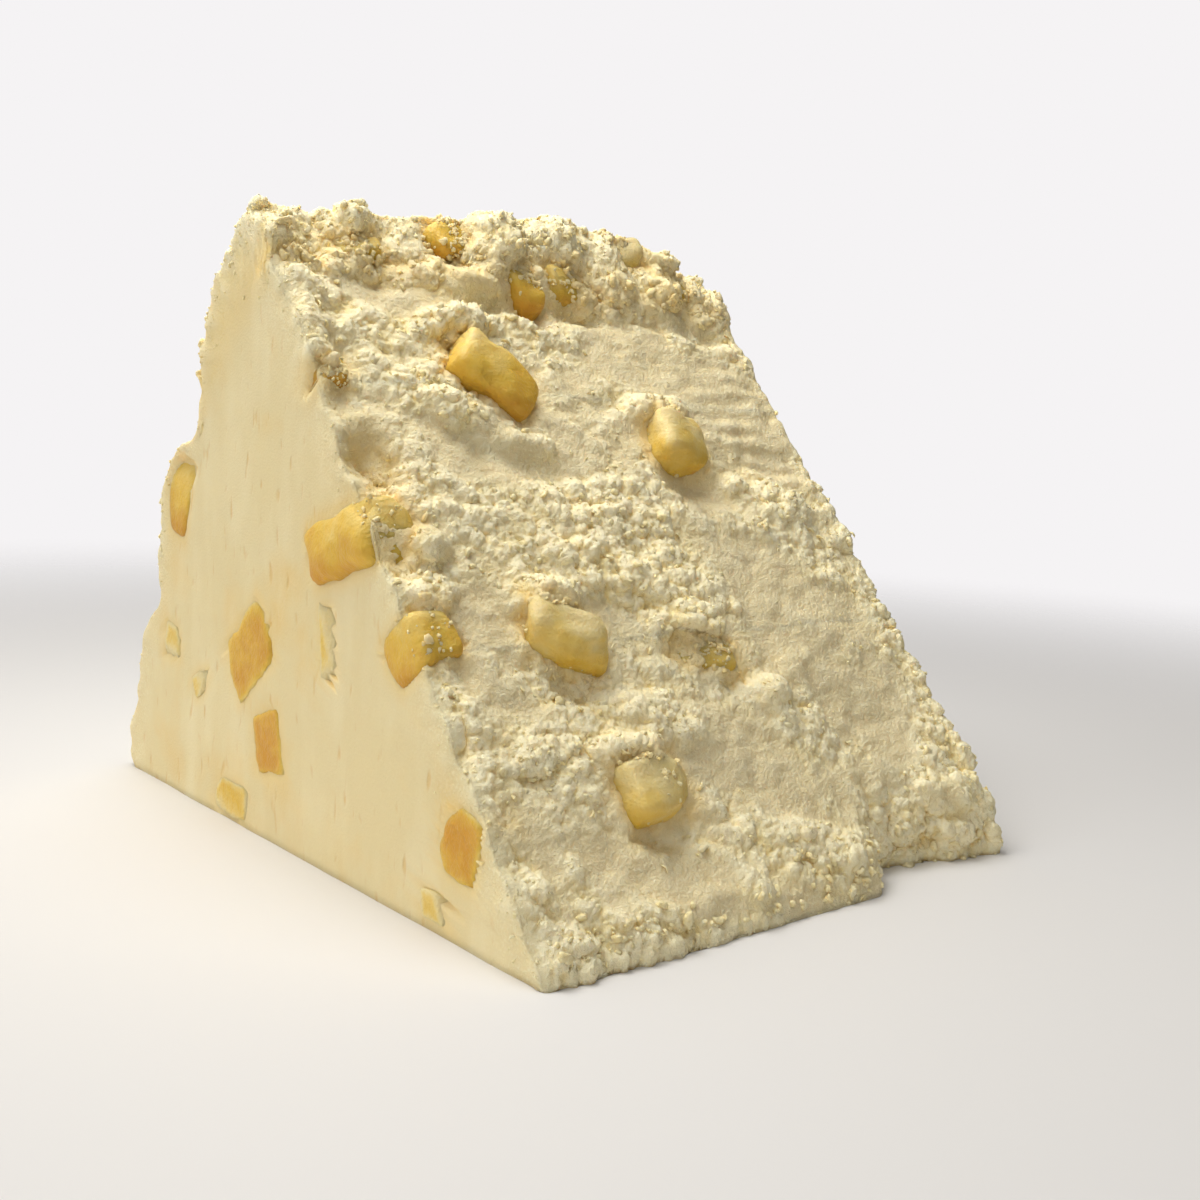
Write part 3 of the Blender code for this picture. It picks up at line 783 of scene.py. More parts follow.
@dataclass
class SlopeCrust:
    """The crumbly skin of the slope and the ridge, twice as fine as the body's grid, in strips.

    Its points are the body's, and the points halfway between them, moved along the normal by the
    sum of three widths of clods. Each strip is closed by a skirt and a fan inside the cheese.
    """

    strips: int = 3
    layers: tuple = ((1.15, 0.40), (0.66, 0.28))
    grains: tuple = (0.42, 0.18)
    lift: float = 0.02
    fade: float = 0.8
    depth: float = 3.5
    inwards: float = 2.0
    ridge_inwards: float = 3.0
    skirt_floor: float = 0.3
    fan_depth: float = 2.0

    def rise(self, points: Array, crumbly: Array) -> Array:
        """How far the crumb stands out.

        Args:
            points: Places in the frame, in millimetres, (n, 3).
            crumbly: How crumbly each is.

        Returns:
            Clods where it is crumbly, and grains nearly everywhere, in millimetres, (n,).
        """
        high = sum(
            tall * (crumbly_clods(points, wide, 171 + place) - 0.4)
            for place, (wide, tall) in enumerate(self.layers)
        )
        wide, tall = self.grains
        some = 0.22 + 0.78 * crumbly
        return high * some + (0.3 + 0.7 * some) * tall * (clods(points, wide, 175) - 0.4)

    def build(self, body: CheeseBody, material: bpy.types.Material) -> None:
        """Makes the strips, and tells the body where its points now are.

        Args:
            body: The shaped cheese.
            material: The cheese.
        """
        sector = body.sector
        shape = (body.columns, body.around)

        def covered(values: Array) -> Array:
            """The part of the body's values that the crust covers, twice as fine."""
            return twice(values.reshape(shape + values.shape[1:])[body.crust])

        surface, outward = covered(body.surface), unit(covered(body.outward))
        at = {name: covered(body.at[name]) for name in ("torn", "crumbly", "stain", "fine", "height")}
        fade = share(twice(body.crust_inside()) / self.fade) * share(at["height"] / self.fade)
        rise = self.rise(surface.reshape(-1, 3), at["crumbly"].ravel()).reshape(fade.shape) * fade
        points = surface + outward * (rise + self.lift)[..., None]
        keep_above(points, 0.0)
        # The relief height goes to the material, which paints a highlight where it is high and shade where
        # it is low
        at["height_for_painted_light"] = 0.8 * at["fine"] + 1.1 * rise
        body.surface.reshape(shape + (3,))[body.crust] = points[::2, ::2]
        push = -self.depth * np.broadcast_to(sector.off_slope, points.shape).copy()
        push[:, 2 * int(sector.radius / body.slope_step) :] -= self.ridge_inwards * sector.up_slope
        push[0, :, 0] += self.inwards
        push[-1, :, 0] -= self.inwards
        cuts = np.linspace(0, points.shape[1] - 1, self.strips + 1).astype(int)
        for number, (first, last) in enumerate(zip(cuts[:-1], cuts[1:]), 1):
            rows = np.s_[:, first : last + 1]
            numbers = {name: at[name][rows].ravel() for name in ("torn", "crumbly", "stain", "height_for_painted_light")}
            fan = self.fan_depth * sector.off_slope
            self.strip(f"cheese_crust_{number}", points[rows], push[rows], fan, numbers, material)

    def strip(
        self, name: str, points: Array, push: Array, fan: Array, numbers: dict, material: bpy.types.Material,
    ) -> None:
        """Closes one strip of the crust and makes its piece.

        Args:
            name: The piece's name.
            points: The strip's grid in millimetres, (u, v, 3).
            push: How far the skirt goes in from each point, (u, v, 3).
            fan: How far the fan's pole is under the middle of the skirt's foot, (3,).
            numbers: What the material reads at each point.
            material: The cheese.
        """
        part = points.reshape(-1, 3)
        order = np.arange(len(part)).reshape(len(points), -1)
        rim = np.concatenate([order[:-1, 0], order[-1, :-1], order[:0:-1, -1], order[0, :0:-1]])
        skirt = part[rim] + push.reshape(-1, 3)[rim]
        keep_above(skirt, self.skirt_floor)
        a, b, c, d = order[:-1, :-1], order[1:, :-1], order[1:, 1:], order[:-1, 1:]
        low = len(part) + np.arange(len(rim))
        rim_next, low_next, pole = np.roll(rim, -1), np.roll(low, -1), 0 * low + low[-1] + 1
        faces = triangles(
            (a, b, c), (a, c, d), (rim_next, rim, low), (rim_next, low, low_next), (low_next, low, pole),
        )
        every = np.concatenate([part, skirt, [skirt.mean(0) - fan]])
        inner = np.zeros(len(rim) + 1)
        written = {key: np.append(values, inner) for key, values in numbers.items()}
        mesh = mesh_piece(name, every, faces, material, written).data
        # The rim's edges are sharp, so that the skirt doesn't tint the strip's shading.
        ends = np.empty(len(mesh.edges) * 2, dtype=np.int32)
        mesh.edges.foreach_get("vertices", ends)
        on_rim = np.zeros(len(mesh.vertices), dtype=bool)
        on_rim[rim] = True
        sharp = on_rim[ends].reshape(-1, 2).all(1)
        mesh.attributes.new("sharp_edge", "BOOLEAN", "EDGE").data.foreach_set("value", sharp)


# How pale each piece of ginger is: 0 deep amber, 0.5 golden, 1 pale yellow
GINGER_TONES = {
    "ginger_slope_dark": 0.42,
    "ginger_slope_yellow": 0.74,
    "ginger_slope_middle": 0.78,
    "ginger_slope_frosted": 0.75,
    "ginger_slope_sunk": 0.6,
    "ginger_edge_block": 0.4,
    "ginger_edge_glassy": 0.4,
    "ginger_edge_small": 0.2,
    "ginger_shoulder_orange": 0.35,
    "ginger_shoulder_centre": 0.35,
    "ginger_ridge_bright": 0.9,
    "ginger_left_front": -0.05,
    "ginger_left_amber": -0.05,
    "ginger_left_torn": 0.15,
}

# How much of each piece of ginger the cheese crumbs cover, apart from those round its socket
CRUMB_COVER = {
    "ginger_slope_frosted": 0.10,
    "ginger_slope_sunk": 0.5,
    "ginger_shoulder_left": 0.9,
    "ginger_shoulder_centre": 0.5,
    "ginger_shoulder_orange": 0.3,
    "ginger_shoulder_broad": 0.7,
    "ginger_shoulder_right": 0.9,
    "ginger_edge_small": 0.4,
}


@dataclass
class GingerDice:
    """One piece of candied ginger, worked out from the flat sides of its CAD node."""

    name: str
    roundness: float = 14.0
    rings: int = 40
    around: int = 56
    lump: float = 0.13
    extra_cuts: int = 5
    ragged: float = 0.16
    flush_roundness: float = 34.0
    usual_tone: float = 0.45
    pale_rim: float = 0.8
    rim_band: float = 0.5
    painted_light_by_height: float = 0.42
    stain_reach: float = 1.6

    def __post_init__(self) -> None:
        """Reads the node's sides: outward normals and distances from its middle, in millimetres."""
        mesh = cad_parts[self.name].data
        corners = np.array([vertex.co for vertex in mesh.vertices]) / MM
        self.centre = (corners.min(0) + corners.max(0)) / 2
        normals = unit(np.array([polygon.normal for polygon in mesh.polygons]))
        middles = np.array([polygon.center for polygon in mesh.polygons]) / MM
        reach = np.sum(normals * (middles - self.centre), axis=1)
        sides = np.unique(np.round(np.column_stack([normals, reach]), 2), axis=0)
        sides = sides[sides[:, 3] > 0.2]
        self.normals = unit(sides[:, :3])
        self.reach = sides[:, 3]
        self.corners = corners - self.centre
        self.flush = self.name.startswith(("ginger_left", "ginger_right"))
        self.on_slope = any(word in self.name for word in ("slope", "edge", "shoulder"))
        draw = np.random.default_rng(SEED + sum(map(ord, self.name)))
        cuts = unit(draw.normal(size=(self.extra_cuts, 3)))
        cuts = cuts[np.max(cuts @ self.normals.T, axis=1) < 0.93]
        support = np.max((corners - self.centre) @ cuts.T, axis=0)
        self.normals = np.concatenate([self.normals, cuts])
        self.reach = np.concatenate([self.reach, support * (0.68 + 0.16 * draw.random(len(cuts)))])

    def radius(self, directions: Array) -> Array:
        """Distance from the middle to the rounded surface.

        Args:
            directions: Unit vectors, (..., 3).

        Returns:
            (sum over the sides of (n · direction / reach) to the power p) to the power -1/p,
            which is the flat-sided piece with its edges rounded off.
        """
        facing = np.clip(directions @ self.normals.T / self.reach, 0, None)
        power = self.flush_roundness if self.flush else self.roundness
        return np.sum(facing**power, -1) ** (-1 / power)

    def tones_and_painted_light(self, surface: Array) -> Array:
        """How pale each point is.

        Args:
            surface: The piece's points in millimetres, (n, 3).

        Returns:
            The piece's own tone, and more by exp(-inside / band) towards the outline of a flush
            piece, or, as painted light, more with height on one that stands out: paler at the top, darker
            below, (n,).
        """
        tone = GINGER_TONES.get(self.name, self.usual_tone)
        if self.flush:
            inside = self.inside(surface, np.abs(self.normals[:, 0]) < 0.999)
            return tone + self.pale_rim * np.exp(-np.clip(inside, 0, None) / self.rim_band)
        higher = (surface - self.centre)[:, 2]
        # Painted light: a piece that stands out is paler at its top and darker lower down
        return tone + self.painted_light_by_height * higher / np.abs(higher).max()

    def inside(self, points: Array, sides: Array | slice = slice(None)) -> Array:
        """How far points are inside the piece's sides, in millimetres; outside it is negative."""
        return np.min(self.reach[sides] - (points - self.centre) @ self.normals[sides].T, axis=1)

    def dent(self, points: Array, sector: Sector) -> Array:
        """How far the cheese over the piece goes in, so that the piece shows.

        Args:
            points: The cheese's points in millimetres, (n, 3).
            sector: The plain wedge.

        Returns:
            The depth that brings each point within the piece's outline just under its surface.
        """
        out = np.zeros(3)
        if self.flush or "edge" in self.name:
            out += np.array([np.sign(self.centre[0]), 0, 0])
        if self.on_slope:
            out += sector.off_slope
        if not out.any():
            return np.zeros(len(points))
        round_it = np.abs(self.normals @ unit(out)) < 0.55
        deepest = 2.5 if "edge" in self.name else 1.0
        depth = np.clip(0.3 - self.inside(points), 0, deepest)
        return depth * share((self.inside(points, round_it) + 0.05) / 0.35)

    def stain(self, points: Array) -> Array:
        """How much syrup has coloured the cheese at each point: 0.5 at the piece, 0 out of reach."""
        return 0.5 * share(1 + self.inside(points) / self.stain_reach) ** 1.5

    def beside(self, sector: Sector, way: int, aside: float, gap: float, wider: float, rise: float) -> Form:
        """A form on the slope that is as wide as the piece and lies against it.

        Args:
            sector: The plain wedge.
            way: 1 above the piece, -1 below it.
            aside: How far its middle is to the right of the piece's.
            gap: How far its middle is beyond the piece's end.
            wider: How much its half width is more than the piece's.
            rise: Its height.

        Returns:
            The form, 3 mm from its middle to its ends up and down the slope.
        """
        place = self.centre - sector.tip
        wide = np.max(np.abs(self.corners[:, 0]))
        tall = np.max(np.abs(self.corners @ sector.up_slope))
        up = place @ sector.up_slope + way * (tall + gap)
        return Form(float(place[0]) + aside, float(up), float(wide) + wider, 3.0, rise)

    def hollow(self, sector: Sector) -> Form:
        """The hollow in the slope just below the piece."""
        return self.beside(sector, -1, 0.5, 0.6, 1.0, -0.9)

    def lip(self, sector: Sector) -> Form:
        """The crumb that rises against the piece's upper side."""
        return self.beside(sector, 1, -0.8, -0.3, 0.6, 1.9)

    def build(self, material: bpy.types.Material) -> None:
        """Makes the piece: a ball of directions pushed out to the rounded, slightly lumpy sides.

        Args:
            material: The candied ginger.
        """
        directions, faces = ball(self.rings, self.around)
        distance = self.radius(directions)
        surface = self.centre + directions * distance[:, None]
        lumps = soft_noise(surface, 3.4, 81)[:, 0] + 0.3 * soft_noise(surface, 1.2, 82)[:, 0]
        level = np.max(directions @ self.normals.T * (np.abs(self.normals[:, 0]) > 0.999), axis=1)
        uneven = self.lump * (1 - share((level - 0.3) / 0.3))
        surface = self.centre + directions * (distance * (1 + uneven * (lumps - 0.2)))[:, None]
        if self.flush:
            stretched = surface * np.array([0.2, 1, 1])
            ragged = soft_noise(stretched, 2.6, 83)[:, :1] + 0.5 * soft_noise(stretched, 1.2, 84)[:, :1]
            away = surface - self.centre
            surface = self.centre + away * (1 + self.ragged * ragged * np.array([0, 1, 1]))
        tones_and_painted_light = {"tone": self.tones_and_painted_light(surface)}
        mesh_piece(f"candied_{self.name}", surface, faces, material, tones_and_painted_light, (self.name,))
        self.surface = surface[:-2]
        self.outward = unit(grid_slopes(self.surface, self.rings, self.around))


@dataclass
class CrumbScatter:
    """Crumbs of one kind that cling to the cheese, as one joined mesh.

    A crumb is a small ball whose radius is 1 + a·sin of a turned direction for three random
    directions, then stretched, turned and sunk in the surface. A clod also has buds, like a
    cauliflower: between them its radius is less by the bud height times 1 - sqrt(1 - (d / w)²),
    where d is the distance to the nearest bud's middle on the ball and w is the bud's width. A
    flake is pressed flat and bent by k·x² along its thin side.
    """

    name: str
    count: int
    small: float
    large: float
    rings: int
    around: int
    seed: int
    raised: float
    buds: int
    flatness: float = 0.55
    unevenness: float = 0.18
    bud_height: float = 0.34
    bud_width: float = 0.62
    bud_middle: float = 0.75
    flake: bool = False
    flake_sides: tuple = (1.0, 0.5, 0.22)
    bend: float = 0.5
    jitter: float = 0.17
    proud: float = 0.4
    off_floor: float = 0.02
    anywhere: float = 1e-12

    def build(
        self, surface: Array, outward: Array, weight: Array, stain_and_painted_light: Array, material: bpy.types.Material,
    ) -> None:
        """Scatters the crumbs and joins them.

        Args:
            surface: Places where a crumb may lie, in millimetres, (n, 3).
            outward: The surface's normals there, (n, 3).
            weight: How likely each place is, (n,).
            stain_and_painted_light: How much syrup has coloured each place, with the painted glow and
                painted shade that share its tint, (n,).
            material: What the crumbs are made of.
        """
        many = self.count
        draw = np.random.default_rng(SEED + self.seed)
        weight = weight + self.anywhere
        chosen = draw.choice(len(surface), many, p=weight / weight.sum())
        size = self.small * (self.large / self.small) ** (draw.random(many) ** 2.2)
        normal = outward[chosen]
        jitter = draw.normal(0, self.jitter, (many, 3))
        jitter -= normal * np.sum(jitter * normal, axis=1, keepdims=True)
        centre = surface[chosen] + jitter + normal * (size * self.raised)[:, None]
        directions, faces = ball(self.rings, self.around)
        axes = unit(draw.normal(size=(many, 3, 3)))
        phase = draw.random((many, 3, 1)) * 2 * math.pi
        radius = 1 + self.unevenness * np.sin(3.0 * axes @ directions.T + phase).sum(1)
        rise = np.full_like(radius, self.bud_middle)
        if self.buds:
            middles = unit(draw.normal(size=(many, self.buds, 3)))
            away = 2 * (1 - np.max(middles @ directions.T, axis=1)) / self.bud_width**2
            rise = np.sqrt(share(1 - away))
            radius = radius - self.bud_height * (1 - rise)
        stretch = 1 + (self.flatness - 1) * draw.random((many, 1, 3)) ** 0.7
        frames = np.linalg.qr(draw.normal(size=(many, 3, 3)))[0]
        if self.flake:
            stretch = np.array(self.flake_sides) * (1 + 0.3 * draw.random((many, 1, 3)))
            thin = unit(normal + 0.55 * draw.normal(size=(many, 3)))
            long = unit(np.cross(thin, draw.normal(size=(many, 3))))
            frames = np.stack([long, np.cross(thin, long), thin], -1)
        frames *= np.sign(np.linalg.det(frames))[:, None, None]
        local = directions * radius[:, :, None] * stretch * size[:, None, None]
        if self.flake:
            local[..., 2] -= self.bend * local[..., 0] ** 2 / size[:, None]
        turned = np.einsum("nij,nmj->nmi", frames, local)
        low, high = np.array(CAD_BOX) / MM
        points = np.clip(centre[:, None] + turned, low - self.proud, high + self.proud)
        keep_above(points, self.off_floor)
        start = np.arange(many)[:, None, None] * len(directions)
        # From this and the tone the material paints a highlight on each crumb's outer side and bud tops, and
        # shade on its side towards the cheese and between its buds; the rest of the tone differs at random
        outer = np.sum(turned * normal[:, None], -1) / size[:, None]
        tone = draw.normal(0, 0.08, (many, 1)) + 0.28 * (rise - self.bud_middle)
        whole = np.ones(points.shape[:2])
        numbers = {"height_for_painted_light": 0.06 + 0.30 * outer + tone, "torn": whole, "crumbly": whole}
        numbers["stain"] = np.repeat(stain_and_painted_light[chosen], len(directions))
        flat = points.reshape(-1, 3)
        mesh_piece(self.name, flat, (faces + start).reshape(-1, 3), material, numbers)


def add_node(
    tree: bpy.types.NodeTree,
    kind: str,
    inputs: dict | None = None,
    output: str | int = 0,
    **settings: object,
) -> bpy.types.NodeSocket | None:
    """Adds a node with its settings and links.

    Args:
        tree: The node tree.
        kind: The node's type name, without ShaderNode.
        inputs: Input name or number to its value, or to the socket that feeds it.
        output: Name or number of the output that is asked for.
        settings: Properties of the node.

    Returns:
        That output's socket, or None for a node that has no outputs.
    """
    node = tree.nodes.new("ShaderNode" + kind)
    for name, value in settings.items():
        setattr(node, name, value)
    for name, value in (inputs or {}).items():
        if isinstance(value, bpy.types.NodeSocket):
            tree.links.new(value, node.inputs[name])
        else:
            node.inputs[name].default_value = value
    return node.outputs[output] if node.outputs else None


def empty_material(name: str) -> tuple[bpy.types.Material, bpy.types.NodeTree]:
    """A new node material with nothing in it.

    Args:
        name: The material's name.

    Returns:
        The material and its tree.
    """
    material = bpy.data.materials.new(name)
    material.use_nodes = True
    material.node_tree.nodes.clear()
    return material, material.node_tree


@dataclass(frozen=True)
class PressedCurd:
    """Young crumbly white cheese: pressed curd, matt and slightly waxy, lit from inside.

    Light goes about a millimetre into it, so shadows are warm and soft. The tops of the crumbs carry a
    painted highlight, whiter, and the hollows between them painted shade, yellower.
    """

    name: str = "crumbly_white_cheese"
    paste: str = "ead8a4"
    torn_paste: str = "f5e5ad"
    plate: str = "f1dfaf"
    # Pale tint of the streaks, and the painted highlight on the tops of the crumbs
    pale_marks_and_painted_highlight: str = "fff6d2"
    # Painted shade in the hollows between the crumbs, deeper yellow
    crevice_painted_shade: str = "dfc07a"
    patch: str = "ebca80"
    # Syrup stain round the ginger; also the tint of the shoulder's painted glow and of the painted shade in
    # the notch
    stain_and_painted_light: str = "f2d184"
    fleck: str = "dcae55"
    roughness: float = 0.55
    roughness_torn: float = 0.75
    light_depth_mm: tuple = (1.2, 0.8, 0.36)
    body_light: float = 0.55
    streak_mm: float = 5.0
    patch_mm: float = 9.0
    grain_mm: float = 0.28
    pit_mm: float = 1.15
    painted_shade_reach_mm: float = 1.1
    torn_grain: float = 0.22
    smooth_grain: float = 0.05

    def material(self) -> bpy.types.Material:
        """Makes the cheese.

        Returns:
            Its node material.
        """
        material, tree = empty_material(self.name)
        place = add_node(tree, "TexCoord", output="Object")
        torn, height_for_painted_light, crumbly, stain = (
            add_node(tree, "Attribute", output="Fac", attribute_name=name)
            for name in ("torn", "height_for_painted_light", "crumbly", "stain")
        )
        upright = add_node(
            tree, "Mapping", {"Vector": place, "Scale": (1.0, 1.0, 0.36), "Rotation": (0.12, 0, 0)},
        )
        # Broad patches, the faint upright streaks and pits that the mould cloth and the wire leave,
        # and fine grain: coordinates, width in millimetres, detail and roughness of each noise
        patch, streak, pit, fine = (
            add_node(tree, "TexNoise", {
                "Vector": where, "Scale": 1 / (wide * MM), "Detail": detail, "Roughness": rough,
            }, "Fac")
            for where, wide, detail, rough in (
                (place, self.patch_mm, 3.0, 0.5),
                (upright, self.streak_mm, 4.0, 0.5),
                (upright, self.pit_mm, 1.0, 0.5),
                (place, self.grain_mm, 2.0, 0.6),
            )
        )
        # How shut in each point is, for the painted shade in the hollows
        occlusion_for_painted_shade = add_node(tree, "AmbientOcclusion", {"Distance": self.painted_shade_reach_mm * MM}, "AO", samples=2)
        # Where each begins, where it is full, and how much it is then
        patches, streaks, flecks, pits, deep, low, high, speckle = (
            add_node(tree, "MapRange", {"Value": read, "From Min": start, "From Max": full, "To Max": most})
            for read, start, full, most in (
                (patch, 0.52, 0.75, 0.7),
                (streak, 0.45, 0.75, 0.35),
                (pit, 0.66, 0.78, 0.5),
                (pit, 0.64, 0.80, -0.12),
                # painted shade where the surface is shut in
                (occlusion_for_painted_shade, 0.55, 0.10, 0.65),
                # painted shade where the relief is low, painted highlight where it is high
                (height_for_painted_light, 0.0, -0.6, 0.5),
                (height_for_painted_light, 0.05, 0.45, 0.8),
                (fine, 0.48, 0.68, 0.6),
            )
        )
        # Painted shade: hollows, low in the relief or shut in, are coloured deeper yellow, as light bouncing
        # in them would look; painted highlight: each crumb's top is coloured pale.
        painted_crevice_shade, pale_marks_and_painted_highlight = (
            add_node(tree, "Math", {0: one, 1: other}, operation="MAXIMUM")
            for one, other in ((low, deep), (high, speckle))
        )
        smooth, crumb = linear(self.paste), linear(self.plate)
        for part, tint in ((patches, self.patch), (streaks, self.pale_marks_and_painted_highlight), (flecks, self.fleck)):
            smooth = add_node(tree, "Mix", {"Factor": part, 6: smooth, 7: linear(tint)}, 2, data_type="RGBA")
        # The crumb's colour: paler where torn, a painted highlight (with the speckle) on the tops, and
        # painted shade in the hollows
        for part, tint in ((crumbly, self.torn_paste), (pale_marks_and_painted_highlight, self.pale_marks_and_painted_highlight), (painted_crevice_shade, self.crevice_painted_shade)):
            crumb = add_node(tree, "Mix", {"Factor": part, 6: crumb, 7: linear(tint)}, 2, data_type="RGBA")
        # Syrup from the ginger stains the paste round each piece. The same tint colours the crumbs of the
        # shoulder, partly as syrup stain and partly as a painted glow, and the notch in the left edge as
        # painted shade.
        colour = smooth
        for part, tint in ((torn, crumb), (stain, linear(self.stain_and_painted_light))):
            colour = add_node(tree, "Mix", {"Factor": part, 6: colour, 7: tint}, 2, data_type="RGBA")
        # Heights in millimetres: grain, and the pits of the smooth face
        torn_height = add_node(tree, "Math", {0: fine, 1: self.torn_grain}, operation="MULTIPLY")
        smooth_height = add_node(
            tree, "Math", {0: fine, 1: self.smooth_grain, 2: pits}, operation="MULTIPLY_ADD",
        )
        height = add_node(
            tree, "Mix", {"Factor": torn, 2: smooth_height, 3: torn_height}, data_type="FLOAT",
        )
        shader = add_node(tree, "BsdfPrincipled", {
            "Base Color": colour,
            "Normal": add_node(tree, "Bump", {"Height": height, "Strength": 1.0, "Distance": MM}),
            "Roughness": add_node(
                tree, "MapRange", {"Value": torn, "To Min": self.roughness, "To Max": self.roughness_torn},
            ),
            "IOR": 1.45,
            "Specular IOR Level": 0.35,
            "Subsurface Weight": self.body_light,
            "Subsurface Radius": self.light_depth_mm,
            "Subsurface Scale": MM,
        }, subsurface_method="BURLEY")
        add_node(tree, "OutputMaterial", {"Surface": shader})
        return material


@dataclass(frozen=True)
class CandiedGinger:
    """Stem ginger cooked in syrup and dried: amber, glassy and soft, with a sugary skin.

    Light goes a millimetre or so into it, so it glows softly, from deep amber to pale yellow.
    """

    amber: str = "eac14f"
    deep: str = "d89d36"
    pale: str = "f3d98a"
    edge: str = "ecd79c"
    roughness: float = 0.46
    light_depth_mm: tuple = (1.5, 1.0, 0.4)
    fibre_mm: float = 1.2
    sugar_mm: float = 0.3
    cloud_mm: float = 4.0
    skin_height_mm: float = 0.3

    def material(self) -> bpy.types.Material:
        """Makes the ginger.

        Returns:
            Its node material.
        """
        material, tree = empty_material("candied_ginger")
        place = add_node(tree, "TexCoord", output="Object")
        along = add_node(
            tree, "Mapping", {"Vector": place, "Scale": (0.3, 1.0, 1.0), "Rotation": (0.3, 0.2, 0.5)},
        )
        cloud, fibre, sugar = (
            add_node(tree, "TexNoise", {"Vector": where, "Scale": 1 / (wide * MM), "Detail": detail}, "Fac")
            for where, wide, detail in (
                (place, self.cloud_mm, 3.0), (along, self.fibre_mm, 4.0), (place, self.sugar_mm, 1.0),
            )
        )
        # The tone attribute is the piece's own tone, with painted light on the pieces that stand out: paler
        # at their tops, deeper amber lower down
        tone = add_node(tree, "Attribute", output="Fac", attribute_name="tone")
        # How pale it is: the tone + 0.9 cloud - 0.45 + 0.5 fibre
        cloudy = add_node(tree, "Math", {0: cloud, 1: 0.9, 2: -0.45}, operation="MULTIPLY_ADD")
        stringy = add_node(tree, "Math", {0: fibre, 1: 0.5, 2: cloudy}, operation="MULTIPLY_ADD")
        level = add_node(tree, "Math", {0: tone, 1: stringy}, operation="ADD")
        colour = linear(self.amber)
        for start, full, tint in ((0.75, 0.25, self.deep), (0.75, 1.25, self.pale), (1.05, 1.45, self.edge)):
            part = add_node(tree, "MapRange", {"Value": level, "From Min": start, "From Max": full})
            colour = add_node(tree, "Mix", {"Factor": part, 6: colour, 7: linear(tint)}, 2, data_type="RGBA")
        # The skin's height: the fibres, with grains of sugar on them
        skin = add_node(tree, "Math", {0: sugar, 1: 0.42, 2: fibre}, operation="MULTIPLY_ADD")
        bump = {"Height": skin, "Strength": 1.0, "Distance": self.skin_height_mm * MM}
        shader = add_node(tree, "BsdfPrincipled", {
            "Base Color": colour,
            "Normal": add_node(tree, "Bump", bump),
            "Roughness": self.roughness,
            "IOR": 1.45,
            "Specular IOR Level": 0.35,
            "Subsurface Weight": 0.85,
            "Subsurface Radius": self.light_depth_mm,
            "Subsurface Scale": MM,
        }, subsurface_method="BURLEY")
        add_node(tree, "OutputMaterial", {"Surface": shader})
        return material


